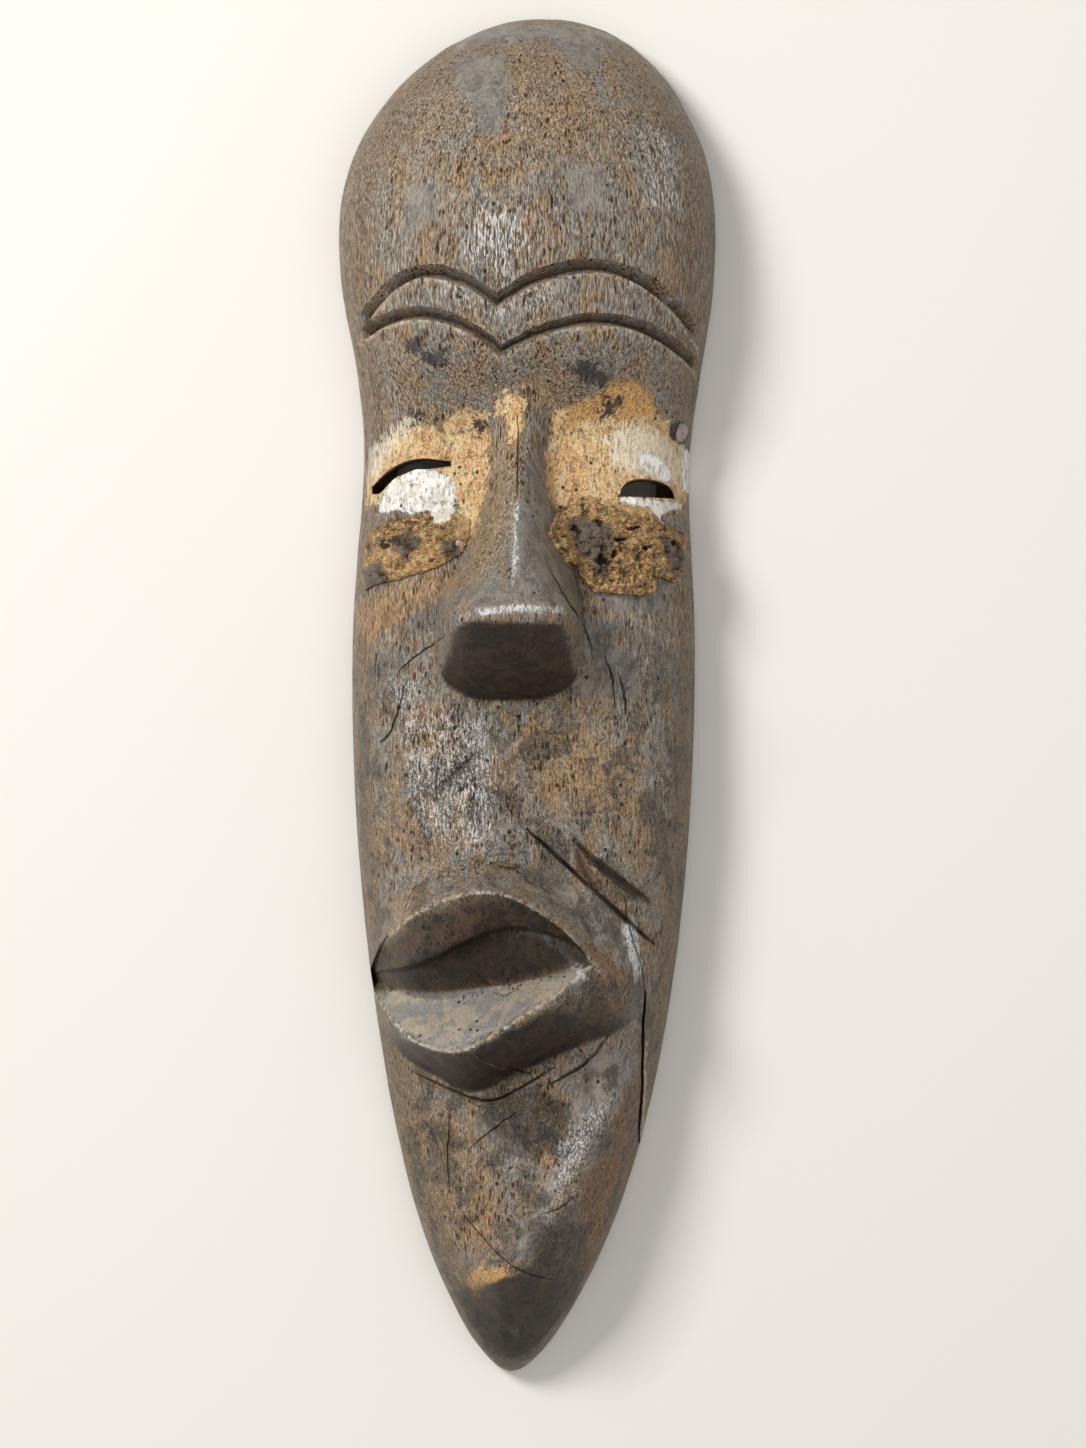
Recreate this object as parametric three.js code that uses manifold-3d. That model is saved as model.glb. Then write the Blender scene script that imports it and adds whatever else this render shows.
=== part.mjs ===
// A carved wooden face mask, long and narrow: a domed forehead over two rows of brow arches, slit eyes,
// a broad wedge nose, a pouting mouth pulled to one side and a keeled chin. It is one hollow shell of wood.
// Two crusts of dried clay lie under the eyes, and a hammered nail head shows at the edge of each.
// The mask lies face up on its rim: +X is to the right of someone who faces it, +Y to the crown, and +Z
// out of the face.
import * as THREE from "three";
import { mergeVertices } from "three/addons/utils/BufferGeometryUtils.js";
import Module from "manifold-3d";

const wasm = await Module();
wasm.setup();

// Driving sizes, in millimetres.
const LENGTH = 600;
const WIDTH = 168;
const DEPTH = 80; // from the rim to the front of the brow, without the nose
const RIM_WIDTH = 13; // flat back edge of the shell
const WALL = 17; // wood between the hollow and the front, without the nose and lips
const CROWN_SLOPE = 0.09; // how far the sawn flat at the crown leans back for each millimetre of height

// Sizes of the cuts, in millimetres.
const UPPER_GROOVE = { width: 6.3, depth: 5.2 };
const LOWER_GROOVE = { width: 5.6, depth: 4.8 };
const LEFT_SLIT_WIDTH = 4.9;
const RIGHT_SLIT_HEIGHT = 8;
const LEFT_CRUST_THICK = 2.2;
const RIGHT_CRUST_THICK = 5.5;
const BED_GAP = 0.35; // between a crust or a nail and the wood that carries it
const RIGHT_NAIL = { width: 7.6, length: 9.4, proud: 2.2, turn: -35 };
const LEFT_NAIL = { width: 4.6, length: 4.9, proud: 1.6, turn: 20 };
const SHANK = { radius: 1.1, length: 9 };
const SCORE = { width: 2.4, depth: 5 };
const GOUGE = { width: 4.5, depth: 5 };
const SPLIT = { width: 1.6, depth: 6 };

const HALF_LENGTH = LENGTH / 2;
const HALF_WIDTH = WIDTH / 2;
const DOME_ROUNDNESS = 2.2;

// Numbers of steps on the carved front, in the hollow, and on a crust.
const FRONT = { across: 28, along: 54 };
const HOLLOW = { across: 12, along: 28 };
const CRUST = { rings: 4, around: 30 };

const { sin, cos, abs, sqrt, min, max, exp, log, hypot, PI } = Math;
const clamp = (x, low, high) => min(max(x, low), high);

// 0 before a and 1 after b, with a smooth rise between them.
function ease(a, b, x) {
  const t = clamp((x - a) / (b - a), 0, 1);
  return t * t * (3 - 2 * t);
}

// A smooth curve through stations of [place, value], level with its ends outside them.
function curve(stations, place) {
  const last = stations.length - 1;
  const p = clamp(place, stations[0][0], stations[last][0]);
  let i = 0;
  while (i < last - 1 && p > stations[i + 1][0]) i++;
  const rise = (a, b) => (stations[b][1] - stations[a][1]) / (stations[b][0] - stations[a][0]);
  const h = stations[i + 1][0] - stations[i][0];
  const t = (p - stations[i][0]) / h;
  const from = rise(max(i - 1, 0), i + 1);
  const to = rise(i, min(i + 2, last));
  return (
    (2 * t ** 3 - 3 * t * t + 1) * stations[i][1] +
    (t ** 3 - 2 * t * t + t) * h * from +
    (3 * t * t - 2 * t ** 3) * stations[i + 1][1] +
    (t ** 3 - t * t) * h * to
  );
}

// A rounded bump of height 1 about a point, with its own reach along and across, turned by degrees.
function bump(m, n, spot) {
  const turn = ((spot.turn ?? 0) * PI) / 180;
  const dx = (m - spot.at[0]) * HALF_WIDTH;
  const dy = (n - spot.at[1]) * HALF_LENGTH;
  const along = (dx * cos(turn) + dy * sin(turn)) / (spot.reach[0] * HALF_WIDTH);
  const across = (dy * cos(turn) - dx * sin(turn)) / (spot.reach[1] * HALF_LENGTH);
  return exp(-along * along - across * across);
}

// The free form is in shares of its own size: m is a share of the half width, n of the half length,
// and a height is a share of the depth.

// How wide the outline would be at each n if its ends didn't close, and where its middle is.
const FULLNESS = [
  [-1, 0.57], [-0.93, 0.7], [-0.75, 0.823], [-0.35, 0.883], [0.067, 0.908], [0.333, 0.911],
  [0.467, 1.02], [0.613, 1.245], [0.723, 1.43], [0.8, 1.54], [0.943, 1.68], [1.02, 1.75],
];
const MIDDLE = [
  [-1, -0.087], [-0.75, -0.052], [-0.493, -0.03], [0.067, -0.021], [0.28, -0.012],
  [0.467, 0.007], [0.687, -0.002], [0.833, 0.017], [0.943, 0.06], [1.02, 0.1],
];
// Height of the dome's spine, and how square its sections are.
const SPINE = [
  [-1, 1.05], [-0.9, 1.13], [-0.83, 1.15], [-0.667, 0.94], [-0.5, 0.825], [-0.3, 0.775], [-0.067, 0.75],
  [0.133, 0.713], [0.267, 0.681], [0.367, 0.713], [0.427, 0.813], [0.48, 0.975], [0.517, 1.063],
  [0.567, 1.125], [0.617, 1.188], [0.7, 1.275], [0.8, 1.363], [1.02, 1.49],
];
const SQUARENESS = [
  [-1, 2.3], [-0.767, 2.6], [-0.5, 3.2], [-0.2, 3.9], [0.133, 3.9], [0.367, 3.4], [0.533, 2.6], [1.02, 2.3],
];
const middleAt = (n) => curve(MIDDLE, n);
const halfWidthAt = (n) => curve(FULLNESS, n) * sqrt(max(1 - n * n, 0));

// Two brow arches meet in a notch over the nose. Each is a parabola, steeper or flatter on its outer side.
const UPPER_ARCH = {
  left: [-0.536, 0.614],
  right: [0.369, 0.619],
  notch: -0.155,
  fall: [0.564, 0.287, 0.169, 0.306],
};
const LOWER_ARCH = {
  left: [-0.583, 0.554],
  right: [0.393, 0.543],
  notch: -0.129,
  fall: [0.259, 0.263, 0.16, 0.212],
};
function archAt(arch, m) {
  const peak = m < arch.notch ? arch.left : arch.right;
  const side = (m < arch.notch ? 0 : 2) + (m < peak[0] ? 0 : 1);
  return peak[1] - arch.fall[side] * (m - peak[0]) ** 2;
}

// The nose is a ridge that rises and widens from the root to a blunt tip. Under the tip it is cut off
// slanting back.
const NOSE = { root: 0.443, tip: 0.113, base: -0.006 };
const NOSE_HEIGHT = [
  [0, 0], [0.08, 0.056], [0.3, 0.175], [0.6, 0.362], [0.85, 0.537], [1, 0.625], [1.6, 0.775],
];
const NOSE_MIDDLE = [[0, -0.04], [0.5, -0.04], [0.8, -0.065], [1, -0.09], [1.4, -0.09]];
const NOSE_HALF = [
  [0, 0.143], [0.25, 0.155], [0.45, 0.185], [0.65, 0.25], [0.85, 0.325], [1, 0.371], [1.2, 0.371],
  [1.35, 0.35],
];
const NOSE_SQUARE = [[0, 1.5], [0.5, 1.45], [0.8, 2], [0.95, 3], [1.05, 4], [1.4, 4.2]];
const NOSE_POWER = [[0, 0.9], [0.6, 1.05], [0.85, 0.85], [1, 0.55], [1.4, 0.5]];
const UNDERSIDE = { height: 0.69, power: 0.85, curl: 0.037, round: 0.033 };
function noseHeight(m, n) {
  const s = clamp((NOSE.root - n) / (NOSE.root - NOSE.tip), 0, NOSE_HEIGHT[NOSE_HEIGHT.length - 1][0]);
  const side = abs(m - curve(NOSE_MIDDLE, s)) / curve(NOSE_HALF, s);
  if (side >= 1) return 0;
  const base = NOSE.base + UNDERSIDE.curl * side ** 4;
  const under = UNDERSIDE.height * max((n - base) / (NOSE.tip - base), 0) ** UNDERSIDE.power;
  const top = curve(NOSE_HEIGHT, s);
  const k = UNDERSIDE.round;
  const rounded = -k * log(exp(-top / k) + exp(-under / k));
  return max(rounded, 0) * (1 - side ** curve(NOSE_SQUARE, s)) ** curve(NOSE_POWER, s);
}

// The mouth is a mound with an open almond cut in it, between the rims of the lips. Beyond the right
// corner both rims run on as one ridge.
const CORNERS = { left: -0.833, right: 0.327 };
const UPPER_RIM = [
  [-0.833, -0.407], [-0.738, -0.353], [-0.595, -0.317], [-0.429, -0.292], [-0.286, -0.28], [-0.143, -0.281],
  [-0.024, -0.293], [0.095, -0.313], [0.202, -0.337], [0.286, -0.363], [0.327, -0.381], [0.405, -0.397],
  [0.5, -0.411], [0.643, -0.43],
];
const LOWER_RIM = [
  [-0.833, -0.417], [-0.774, -0.443], [-0.69, -0.473], [-0.595, -0.493], [-0.476, -0.505], [-0.369, -0.507],
  [-0.262, -0.498], [-0.143, -0.477], [0.024, -0.447], [0.155, -0.423], [0.274, -0.397], [0.327, -0.385],
  [0.405, -0.397], [0.5, -0.411], [0.643, -0.43],
];
const MOUND = {
  crest: [
    [-0.845, 0.06], [-0.738, 0.15], [-0.536, 0.25], [-0.238, 0.312], [0.119, 0.306], [0.333, 0.25],
    [0.476, 0.16], [0.643, 0.03],
  ],
  top: [
    [-0.845, -0.3], [-0.655, -0.233], [-0.357, -0.207], [-0.06, -0.22], [0.238, -0.26], [0.476, -0.3],
    [0.643, -0.36],
  ],
  foot: [
    [-0.845, -0.453], [-0.667, -0.517], [-0.476, -0.547], [-0.286, -0.57], [-0.048, -0.54], [0.262, -0.503],
    [0.476, -0.483], [0.643, -0.45],
  ],
  rise: [[-0.845, 2], [-0.476, 2.3], [-0.179, 2.6], [0.238, 2.4], [0.643, 1.8]],
  fall: 1.5,
  least: 0.01, // the least share over which the mound rises or falls
};
function moundHeight(m, n) {
  const last = MOUND.top.length - 1;
  if (m <= MOUND.top[0][0] || m >= MOUND.top[last][0]) return 0;
  const [top, foot] = [curve(MOUND.top, m), curve(MOUND.foot, m)];
  const up = clamp((top - n) / max(top - curve(UPPER_RIM, m), MOUND.least), 0, 1);
  const down = clamp((n - foot) / max(curve(LOWER_RIM, m) - foot, MOUND.least), 0, 1);
  return curve(MOUND.crest, m) * min(up ** curve(MOUND.rise, m), 1 - (1 - down) ** MOUND.fall);
}

// The chin has a keel that runs down and in from the right jaw to a worn knob, and falls away on both
// sides of it. It starts under the mouth, its crest fades out before the knob, and the tip dips.
const KEEL = [
  [0.548, -0.5], [0.445, -0.583], [0.327, -0.64], [0.206, -0.703], [0.086, -0.757], [-0.036, -0.81],
  [-0.155, -0.84], [-0.143, -0.917], [-0.095, -1],
];
const CHIN_FROM = [-0.467, -0.617];
const CREST_FROM = [-0.5, -0.6];
const CREST_TO = [0.7, 0.85]; // shares of the way along the keel
const TIP = { from: [-0.847, -0.967], at: -0.12, reach: 0.31 };
const CHIN = { right: 0.15, left: 0.062, crest: 0.05, knob: 0.062, tip: 0.1 };
const KEEL_REACH = { right: 20, left: 26, crest: 9 };
const KNOB = { at: [-0.155, -0.837], reach: [0.119, 0.03] };
// Distance in millimetres from a line of points, positive on its right, and the share of the way along it.
function fromLine(points, m, n) {
  let best = { distance: Infinity, share: 0 };
  for (let i = 0; i < points.length - 1; i++) {
    const dx = (points[i + 1][0] - points[i][0]) * HALF_WIDTH;
    const dy = (points[i + 1][1] - points[i][1]) * HALF_LENGTH;
    const px = (m - points[i][0]) * HALF_WIDTH;
    const py = (n - points[i][1]) * HALF_LENGTH;
    const t = clamp((px * dx + py * dy) / (dx * dx + dy * dy), 0, 1);
    const away = hypot(px - t * dx, py - t * dy);
    const side = (px - t * dx) * dy - (py - t * dy) * dx;
    const share = (i + t) / (points.length - 1);
    if (away < abs(best.distance)) best = { distance: side < 0 ? -away : away, share };
  }
  return best;
}
function chinHeight(m, n) {
  const on = ease(...CHIN_FROM, n);
  if (on === 0) return 0;
  const { distance: d, share } = fromLine(KEEL, m, n);
  const right = -CHIN.right * (1 - exp(-max(d, 0) / KEEL_REACH.right));
  const left = -CHIN.left * (1 - exp(-max(-d, 0) / KEEL_REACH.left));
  const shown = ease(...CREST_FROM, n) * (1 - ease(...CREST_TO, share));
  const crest = CHIN.crest * exp(-((d / KEEL_REACH.crest) ** 2)) * shown;
  const tip = -CHIN.tip * ease(...TIP.from, n) * exp(-(((m - TIP.at) / TIP.reach) ** 2));
  return on * (right + left + crest) + CHIN.knob * bump(m, n, KNOB) + tip;
}

// Lids bulge under the slits, and the sockets sink beside the root of the nose.
const LIDS = [
  { at: [-0.583, 0.283], reach: [0.23, 0.037], turn: 8, height: 0.05 },
  { at: [0.619, 0.267], reach: [0.19, 0.032], turn: -4, height: 0.044 },
  { at: [-0.36, 0.38], reach: [0.22, 0.06], turn: 0, height: -0.04 },
  { at: [0.286, 0.373], reach: [0.22, 0.06], turn: 0, height: -0.044 },
];
// Slow waves that the carver's blade left on every face.
const BLADE_WAVE = 0.011;
function bladeWaves(m, n) {
  return (
    BLADE_WAVE *
    (sin(4.94 * m + 1.3) * sin(9.68 * n + 0.6) +
      0.8 * sin(7.64 * m + 6.98 * n + 2.1) * cos(13 * n + 1.4 * m) +
      0.55 * sin(11.5 * m - 11.1 * n) * sin(21.9 * n + 1))
  );
}

const RIM_FADE = 14; // the higher, the nearer to the rim the carving runs
// The plain dome at m, n: its height and how far it is towards the rim.
function domeAt(m, n) {
  const a = clamp((m - middleAt(n)) / max(halfWidthAt(n), 1e-6), -1, 1);
  const r = sqrt(clamp(n * n + a * a * (1 - n * n), 0, 1));
  return { r, height: DEPTH * curve(SPINE, n) * (1 - r ** curve(SQUARENESS, n)) ** (1 / DOME_ROUNDNESS) };
}
// Height of the plain front over m, n, with its gentle carving, and with the nose and the lips on it.
function plainZ(m, n) {
  const { r, height } = domeAt(m, n);
  const lids = LIDS.reduce((sum, lid) => sum + lid.height * bump(m, n, lid), 0);
  return max(height + DEPTH * (1 - r ** RIM_FADE) * (chinHeight(m, n) + lids + bladeWaves(m, n)), 0);
}
function frontZ(m, n) {
  return plainZ(m, n) + DEPTH * (noseHeight(m, n) + moundHeight(m, n) * (1 - domeAt(m, n).r ** RIM_FADE));
}

// A square grid is laid on the dome with no pole: square to disc, and disc to outline.
function domePoint(u, v) {
  const rho = hypot(u * sqrt(1 - (v * v) / 2), v * sqrt(1 - (u * u) / 2));
  const spread = rho > 1e-9 ? sin((rho * PI) / 2) / rho : PI / 2;
  const n = v * sqrt(1 - (u * u) / 2) * spread;
  const a = clamp((u * sqrt(1 - (v * v) / 2) * spread) / sqrt(max(1 - n * n, 1e-12)), -1, 1);
  const m = middleAt(n) + halfWidthAt(n) * a;
  return { m, n, a, ...domeAt(m, n) };
}

// The left corner of the lips stands a little proud of the side.
const LIP_CORNER = { at: -0.4, reach: 0.045, proud: 0.024, from: [-0.75, -1], above: [0.08, 0.4] };
function lipCorner(n, a, height) {
  const { at, reach, proud, from, above } = LIP_CORNER;
  const there = exp(-(((n - at) / reach) ** 2)) * ease(...from, a) * ease(...above, height / DEPTH);
  return proud * HALF_WIDTH * there;
}
function frontPoint(u, v) {
  const { m, n, a } = domePoint(u, v);
  const z = plainZ(m, n);
  const x = m * HALF_WIDTH - lipCorner(n, a, z);
  const y = min(n * HALF_LENGTH, HALF_LENGTH - CROWN_SLOPE * z);
  return new THREE.Vector3(x, y, z);
}

// The hollow is a plainer dome inside the first, which follows only the lean of the chin.
const HOLLOW_BELOW = 2; // its tool starts this far below the rim
function hollowPoint(u, v) {
  const { m, n, height } = domePoint(u, v);
  const spine = DEPTH * curve(SPINE, n);
  const depth = spine + DEPTH * chinHeight(m, n) - WALL + HOLLOW_BELOW;
  const x = m * HALF_WIDTH - RIM_WIDTH * (m - middleAt(n)) / max(halfWidthAt(n), 0.2);
  const y = n * (HALF_LENGTH - RIM_WIDTH);
  return new THREE.Vector3(x, y, (depth * height) / spine - HOLLOW_BELOW);
}

const evenRows = (count) => Array.from({ length: count + 1 }, (_, j) => -1 + (2 * j) / count);

// A closed body from a domed grid: the grid on top, and a flat fan under its edge.
function domedBody(pointAt, across, rows) {
  const along = rows.length - 1;
  const index = (i, j) => i * (along + 1) + j;
  const positions = [];
  const faces = [];
  for (let i = 0; i <= across; i++)
    for (const row of rows) positions.push(...pointAt(-1 + (2 * i) / across, row));
  for (let i = 0; i < across; i++)
    for (let j = 0; j < along; j++) {
      faces.push(index(i, j), index(i + 1, j), index(i + 1, j + 1));
      faces.push(index(i, j), index(i + 1, j + 1), index(i, j + 1));
    }
  const edge = [];
  for (let j = 0; j < along; j++) edge.push(index(0, j));
  for (let i = 0; i < across; i++) edge.push(index(i, along));
  for (let j = along; j > 0; j--) edge.push(index(across, j));
  for (let i = across; i > 0; i--) edge.push(index(i, 0));
  const centre = positions.length / 3;
  positions.push(0, 0, positions[edge[0] * 3 + 2]);
  edge.forEach((from, k) => faces.push(centre, from, edge[(k + 1) % edge.length]));
  return solid(positions, faces);
}

// Geometry to solid and back.
function solid(positions, faces) {
  const geometry = new THREE.BufferGeometry();
  geometry.setAttribute("position", new THREE.Float32BufferAttribute(positions, 3));
  geometry.setIndex(faces);
  return solidOf(geometry);
}
function solidOf(geometry) {
  const bare = geometry.clone();
  bare.deleteAttribute("normal");
  bare.deleteAttribute("uv");
  const merged = mergeVertices(bare, 1e-3);
  const mesh = new wasm.Mesh({
    numProp: 3,
    vertProperties: new Float32Array(merged.attributes.position.array),
    triVerts: new Uint32Array(merged.index.array),
  });
  return new wasm.Manifold(mesh);
}
function geometryOf(body) {
  const { numProp, vertProperties, triVerts } = body.getMesh();
  const geometry = new THREE.BufferGeometry();
  const positions = Array.from({ length: vertProperties.length / numProp }, (_, i) =>
    Array.from(vertProperties.subarray(i * numProp, i * numProp + 3)),
  ).flat();
  geometry.setAttribute("position", new THREE.Float32BufferAttribute(positions, 3));
  geometry.setIndex(Array.from(triVerts));
  return geometry;
}

// Places on the front, for what is cut into it or lies on it.
function onFront(m, n) {
  return new THREE.Vector3(m * HALF_WIDTH, n * HALF_LENGTH, frontZ(m, n));
}
function domeOutward(m, n) {
  const near = 0.004;
  const on = (p, q) => new THREE.Vector3(p * HALF_WIDTH, q * HALF_LENGTH, domeAt(p, q).height);
  const across = on(m + near, n).sub(on(m - near, n));
  return across.cross(on(m, n + near).sub(on(m, n - near))).normalize();
}
function outwardAt(m, n) {
  const near = 0.004;
  const across = onFront(m + near, n).sub(onFront(m - near, n));
  return across.cross(onFront(m, n + near).sub(onFront(m, n - near))).normalize();
}

// A raised form: columns of places on the front, from their heads to their feet, closed by a sunken
// underside.
const SUNK = 6; // how deep the underside lies in the wood
const EDGE_SUNK = 0.4; // how far the form's edge dips into the wood
const SIDE = 0.985; // share of the half width past which nothing is raised or cut
const inside = ([m, n]) => {
  const half = SIDE * halfWidthAt(n);
  return [clamp(m, middleAt(n) - half, middleAt(n) + half), n];
};
function raisedSolid(places) {
  const columns = places.map((column) => column.map(inside));
  const rows = columns[0].length;
  const positions = [];
  for (const under of [false, true])
    columns.forEach((column, i) =>
      column.forEach(([m, n], j) => {
        const edge = i === 0 || j === 0 || i === columns.length - 1 || j === rows - 1;
        const down = under ? SUNK : edge ? EDGE_SUNK : 0;
        const z = (under ? plainZ(m, n) : frontZ(m, n)) - down;
        positions.push(m * HALF_WIDTH, n * HALF_LENGTH, z);
      }),
    );
  const base = columns.length * rows;
  const faces = [];
  const index = (i, j) => i * rows + j;
  const quad = (p, q, r, t) => faces.push(p, q, r, p, r, t);
  for (let i = 0; i < columns.length - 1; i++)
    for (let j = 0; j < rows - 1; j++) {
      quad(index(i, j), index(i, j + 1), index(i + 1, j + 1), index(i + 1, j));
      quad(base + index(i, j), base + index(i + 1, j), base + index(i + 1, j + 1), base + index(i, j + 1));
    }
  const edge = [];
  for (let j = 0; j < rows - 1; j++) edge.push(index(0, j));
  for (let i = 0; i < columns.length - 1; i++) edge.push(index(i, rows - 1));
  for (let j = rows - 1; j > 0; j--) edge.push(index(columns.length - 1, j));
  for (let i = columns.length - 1; i > 0; i--) edge.push(index(i, 0));
  edge.forEach((p, k) => {
    const q = edge[(k + 1) % edge.length];
    quad(p, base + p, base + q, q);
  });
  return solid(positions, faces);
}

// The nose's columns are shares of its half width. Its rows run down the ridge to the tip, then under it.
const NOSE_COLUMNS = [-1, -0.97, -0.88, -0.72, -0.5, -0.25, 0, 0.25, 0.5, 0.72, 0.88, 0.97, 1];
const RIDGE_ROWS = [0, 0.08, 0.2, 0.35, 0.5, 0.65, 0.78, 0.9, 0.97];
const UNDER_ROWS = [0, 0.12, 0.35, 0.65, 0.9, 1];
function noseSolid() {
  const columns = NOSE_COLUMNS.map((side) => {
    const place = (n) => {
      const s = (NOSE.root - n) / (NOSE.root - NOSE.tip);
      return [curve(NOSE_MIDDLE, s) + side * curve(NOSE_HALF, s), n];
    };
    const base = NOSE.base + UNDERSIDE.curl * side ** 4;
    const ridge = RIDGE_ROWS.map((s) => place(NOSE.root + (NOSE.tip - NOSE.root) * s));
    return [...ridge, ...UNDER_ROWS.map((w) => place(NOSE.tip + (base - NOSE.tip) * w))];
  });
  return raisedSolid(columns);
}

// The lips' rows run from the head of the mound to the upper rim, over the mouth, and down to its foot.
const LIPS_COLUMNS = 22;
const UPPER_ROWS = [0, 0.3, 0.52, 0.7, 0.86, 1];
const LOWER_ROWS = [1, 0.72, 0.45, 0.2, 0];
function lipsSolid() {
  const [from, to] = [MOUND.top[0][0], MOUND.top[MOUND.top.length - 1][0]];
  const columns = Array.from({ length: LIPS_COLUMNS + 1 }, (_, i) => {
    const m = from + ((to - from) * i) / LIPS_COLUMNS;
    const [top, upper] = [curve(MOUND.top, m), curve(UPPER_RIM, m)];
    const [foot, lower] = [curve(MOUND.foot, m), min(curve(LOWER_RIM, m), upper - 0.001)];
    const above = UPPER_ROWS.map((w) => [m, top + (upper - top) * w]);
    return [...above, ...LOWER_ROWS.map((w) => [m, foot + (lower - foot) * w])];
  });
  return raisedSolid(columns);
}

// A wedge carried along stations on the front. Each station gives the deepest point and the wedge's two
// edges on the wood, and the wedge runs on above the wood until it is `k` times as deep.
function wedgeAlong(stations, k) {
  const positions = [];
  const faces = [];
  stations.forEach(([deepest, one, other], i) => {
    positions.push(...deepest.clone().lerp(one, k), ...deepest.clone().lerp(other, k), ...deepest);
    if (i === 0) return;
    const [from, to] = [3 * (i - 1), 3 * i];
    for (const [p, q] of [[0, 1], [1, 2], [2, 0]]) {
      faces.push(from + p, from + q, to + q);
      faces.push(from + p, to + q, to + p);
    }
  });
  const end = 3 * (stations.length - 1);
  faces.push(0, 2, 1, end, end + 1, end + 2);
  return solid(positions, faces);
}

// The brow grooves follow the arches: a long wall that faces down to the chin, and a short one that
// faces up.
const GROOVE_WALL = 0.68; // share of the width that the long wall takes
const GROOVE_STEPS = 14; // on each side of the notch
const GROOVE_ENDS = [-0.945, 0.945]; // shares of the way from the middle to the sides
const GROOVE_ENDS_N = 0.5; // where those sides are measured
const CUTTER_HEIGHT = 2; // how high a cutter stands over its deepest line, in depths
const MITRE_LIMIT = 2;
function grooveSolid(arch, { width, depth }) {
  const side = (end) => {
    const n = arch.notch;
    const stations = [];
    for (let i = 0; i <= GROOVE_STEPS; i++) {
      const guess = n + (end - n) * (i / GROOVE_STEPS);
      stations.push([guess, archAt(arch, guess)]);
    }
    return stations;
  };
  const reach = (share) => middleAt(GROOVE_ENDS_N) + share * halfWidthAt(GROOVE_ENDS_N);
  const line = [...side(reach(GROOVE_ENDS[0])).reverse(), ...side(reach(GROOVE_ENDS[1])).slice(1)];
  const onDome = ([m, n]) => new THREE.Vector3(m * HALF_WIDTH, n * HALF_LENGTH, domeAt(m, n).height);
  const points = line.map(onDome);
  const last = points.length - 1;
  const stations = points.map((p, i) => {
    const before = p.clone().sub(points[max(i - 1, 0)]).normalize();
    const after = points[min(i + 1, last)].clone().sub(p).normalize();
    const run = before.clone().add(after).normalize();
    const out = domeOutward(...line[i]);
    const down = run.clone().cross(out).normalize();
    const mitre = min(1 / cos(before.angleTo(after) / 2), MITRE_LIMIT);
    const stretched = i === 0 || i === last ? 1 : mitre;
    const other = p.clone().addScaledVector(down, width * stretched);
    const foot = p.clone().addScaledVector(down, GROOVE_WALL * width * stretched);
    const deepest = foot.addScaledVector(out, -depth);
    return [deepest, p, other];
  });
  return wedgeAlong(stations, CUTTER_HEIGHT);
}

// The open mouth deepens from the lower rim at 0 to the upper rim at 1: a dished lower lip, a floor that
// climbs to a break, and the sloping roof of the upper lip. The break nears the upper rim to the right.
const MOUTH = {
  depth: 0.3,
  fullGap: 0.213,
  leastGap: 0.002,
  power: 0.75,
  floor: 0.32,
  above: 0.2,
  columns: 16,
};
const BREAK = [[-0.833, 0.5], [-0.6, 0.56], [-0.24, 0.68], [0.12, 0.78], [0.327, 0.86]];
const DISH = [[0, 0], [0.3, 0.28], [0.8, 0.86], [1, 1]];
const ROOF = { floor: 0.66, ledge: 0.4, width: 0.04 };
// Shares of the way up the lower lip, and of the way from the break to the upper rim, where the rows lie.
const LIP_ROWS = [0, 0.3, 0.6, 0.85, 1];
const ROOF_ROWS = [0.4, 0.7, 1];
function mouthSolid() {
  const positions = [];
  const faces = [];
  const above = MOUTH.above * DEPTH;
  const rows = 3 + LIP_ROWS.length + ROOF_ROWS.length - 1;
  for (let i = 0; i <= MOUTH.columns; i++) {
    const m = CORNERS.left + ((CORNERS.right - CORNERS.left) * (1 - cos((PI * i) / MOUTH.columns))) / 2;
    const lower = curve(LOWER_RIM, m);
    const upper = max(curve(UPPER_RIM, m), lower + MOUTH.leastGap);
    const depth = DEPTH * MOUTH.depth * min((upper - lower) / MOUTH.fullGap, 1) ** MOUTH.power;
    const edge = curve(BREAK, m);
    const section = LIP_ROWS.map((s) => [MOUTH.floor * s, curve(DISH, s)]);
    const roof = edge + ROOF.width;
    section.push([edge, ROOF.floor], [roof, ROOF.ledge]);
    for (const s of ROOF_ROWS) section.push([roof + (1 - roof) * s, ROOF.ledge * (1 - s)]);
    section.forEach(([t, share]) => {
      const floor = onFront(...inside([m, lower + (upper - lower) * t]));
      positions.push(floor.x, floor.y, floor.z - depth * share);
    });
    for (const t of [1, 0]) {
      const rim = onFront(...inside([m, lower + (upper - lower) * t]));
      positions.push(rim.x, rim.y, rim.z + above);
    }
  }
  const around = positions.length / 3 / (MOUTH.columns + 1);
  for (let i = 0; i < MOUTH.columns; i++)
    for (let j = 0; j < around; j++) {
      const [p, q] = [i * around + j, i * around + ((j + 1) % around)];
      faces.push(p, q, q + around, p, q + around, p + around);
    }
  for (let j = 1; j < around - 1; j++) {
    const end = MOUTH.columns * around;
    faces.push(0, j + 1, j, end, end + j, end + j + 1);
  }
  return solid(positions, faces);
}

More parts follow.
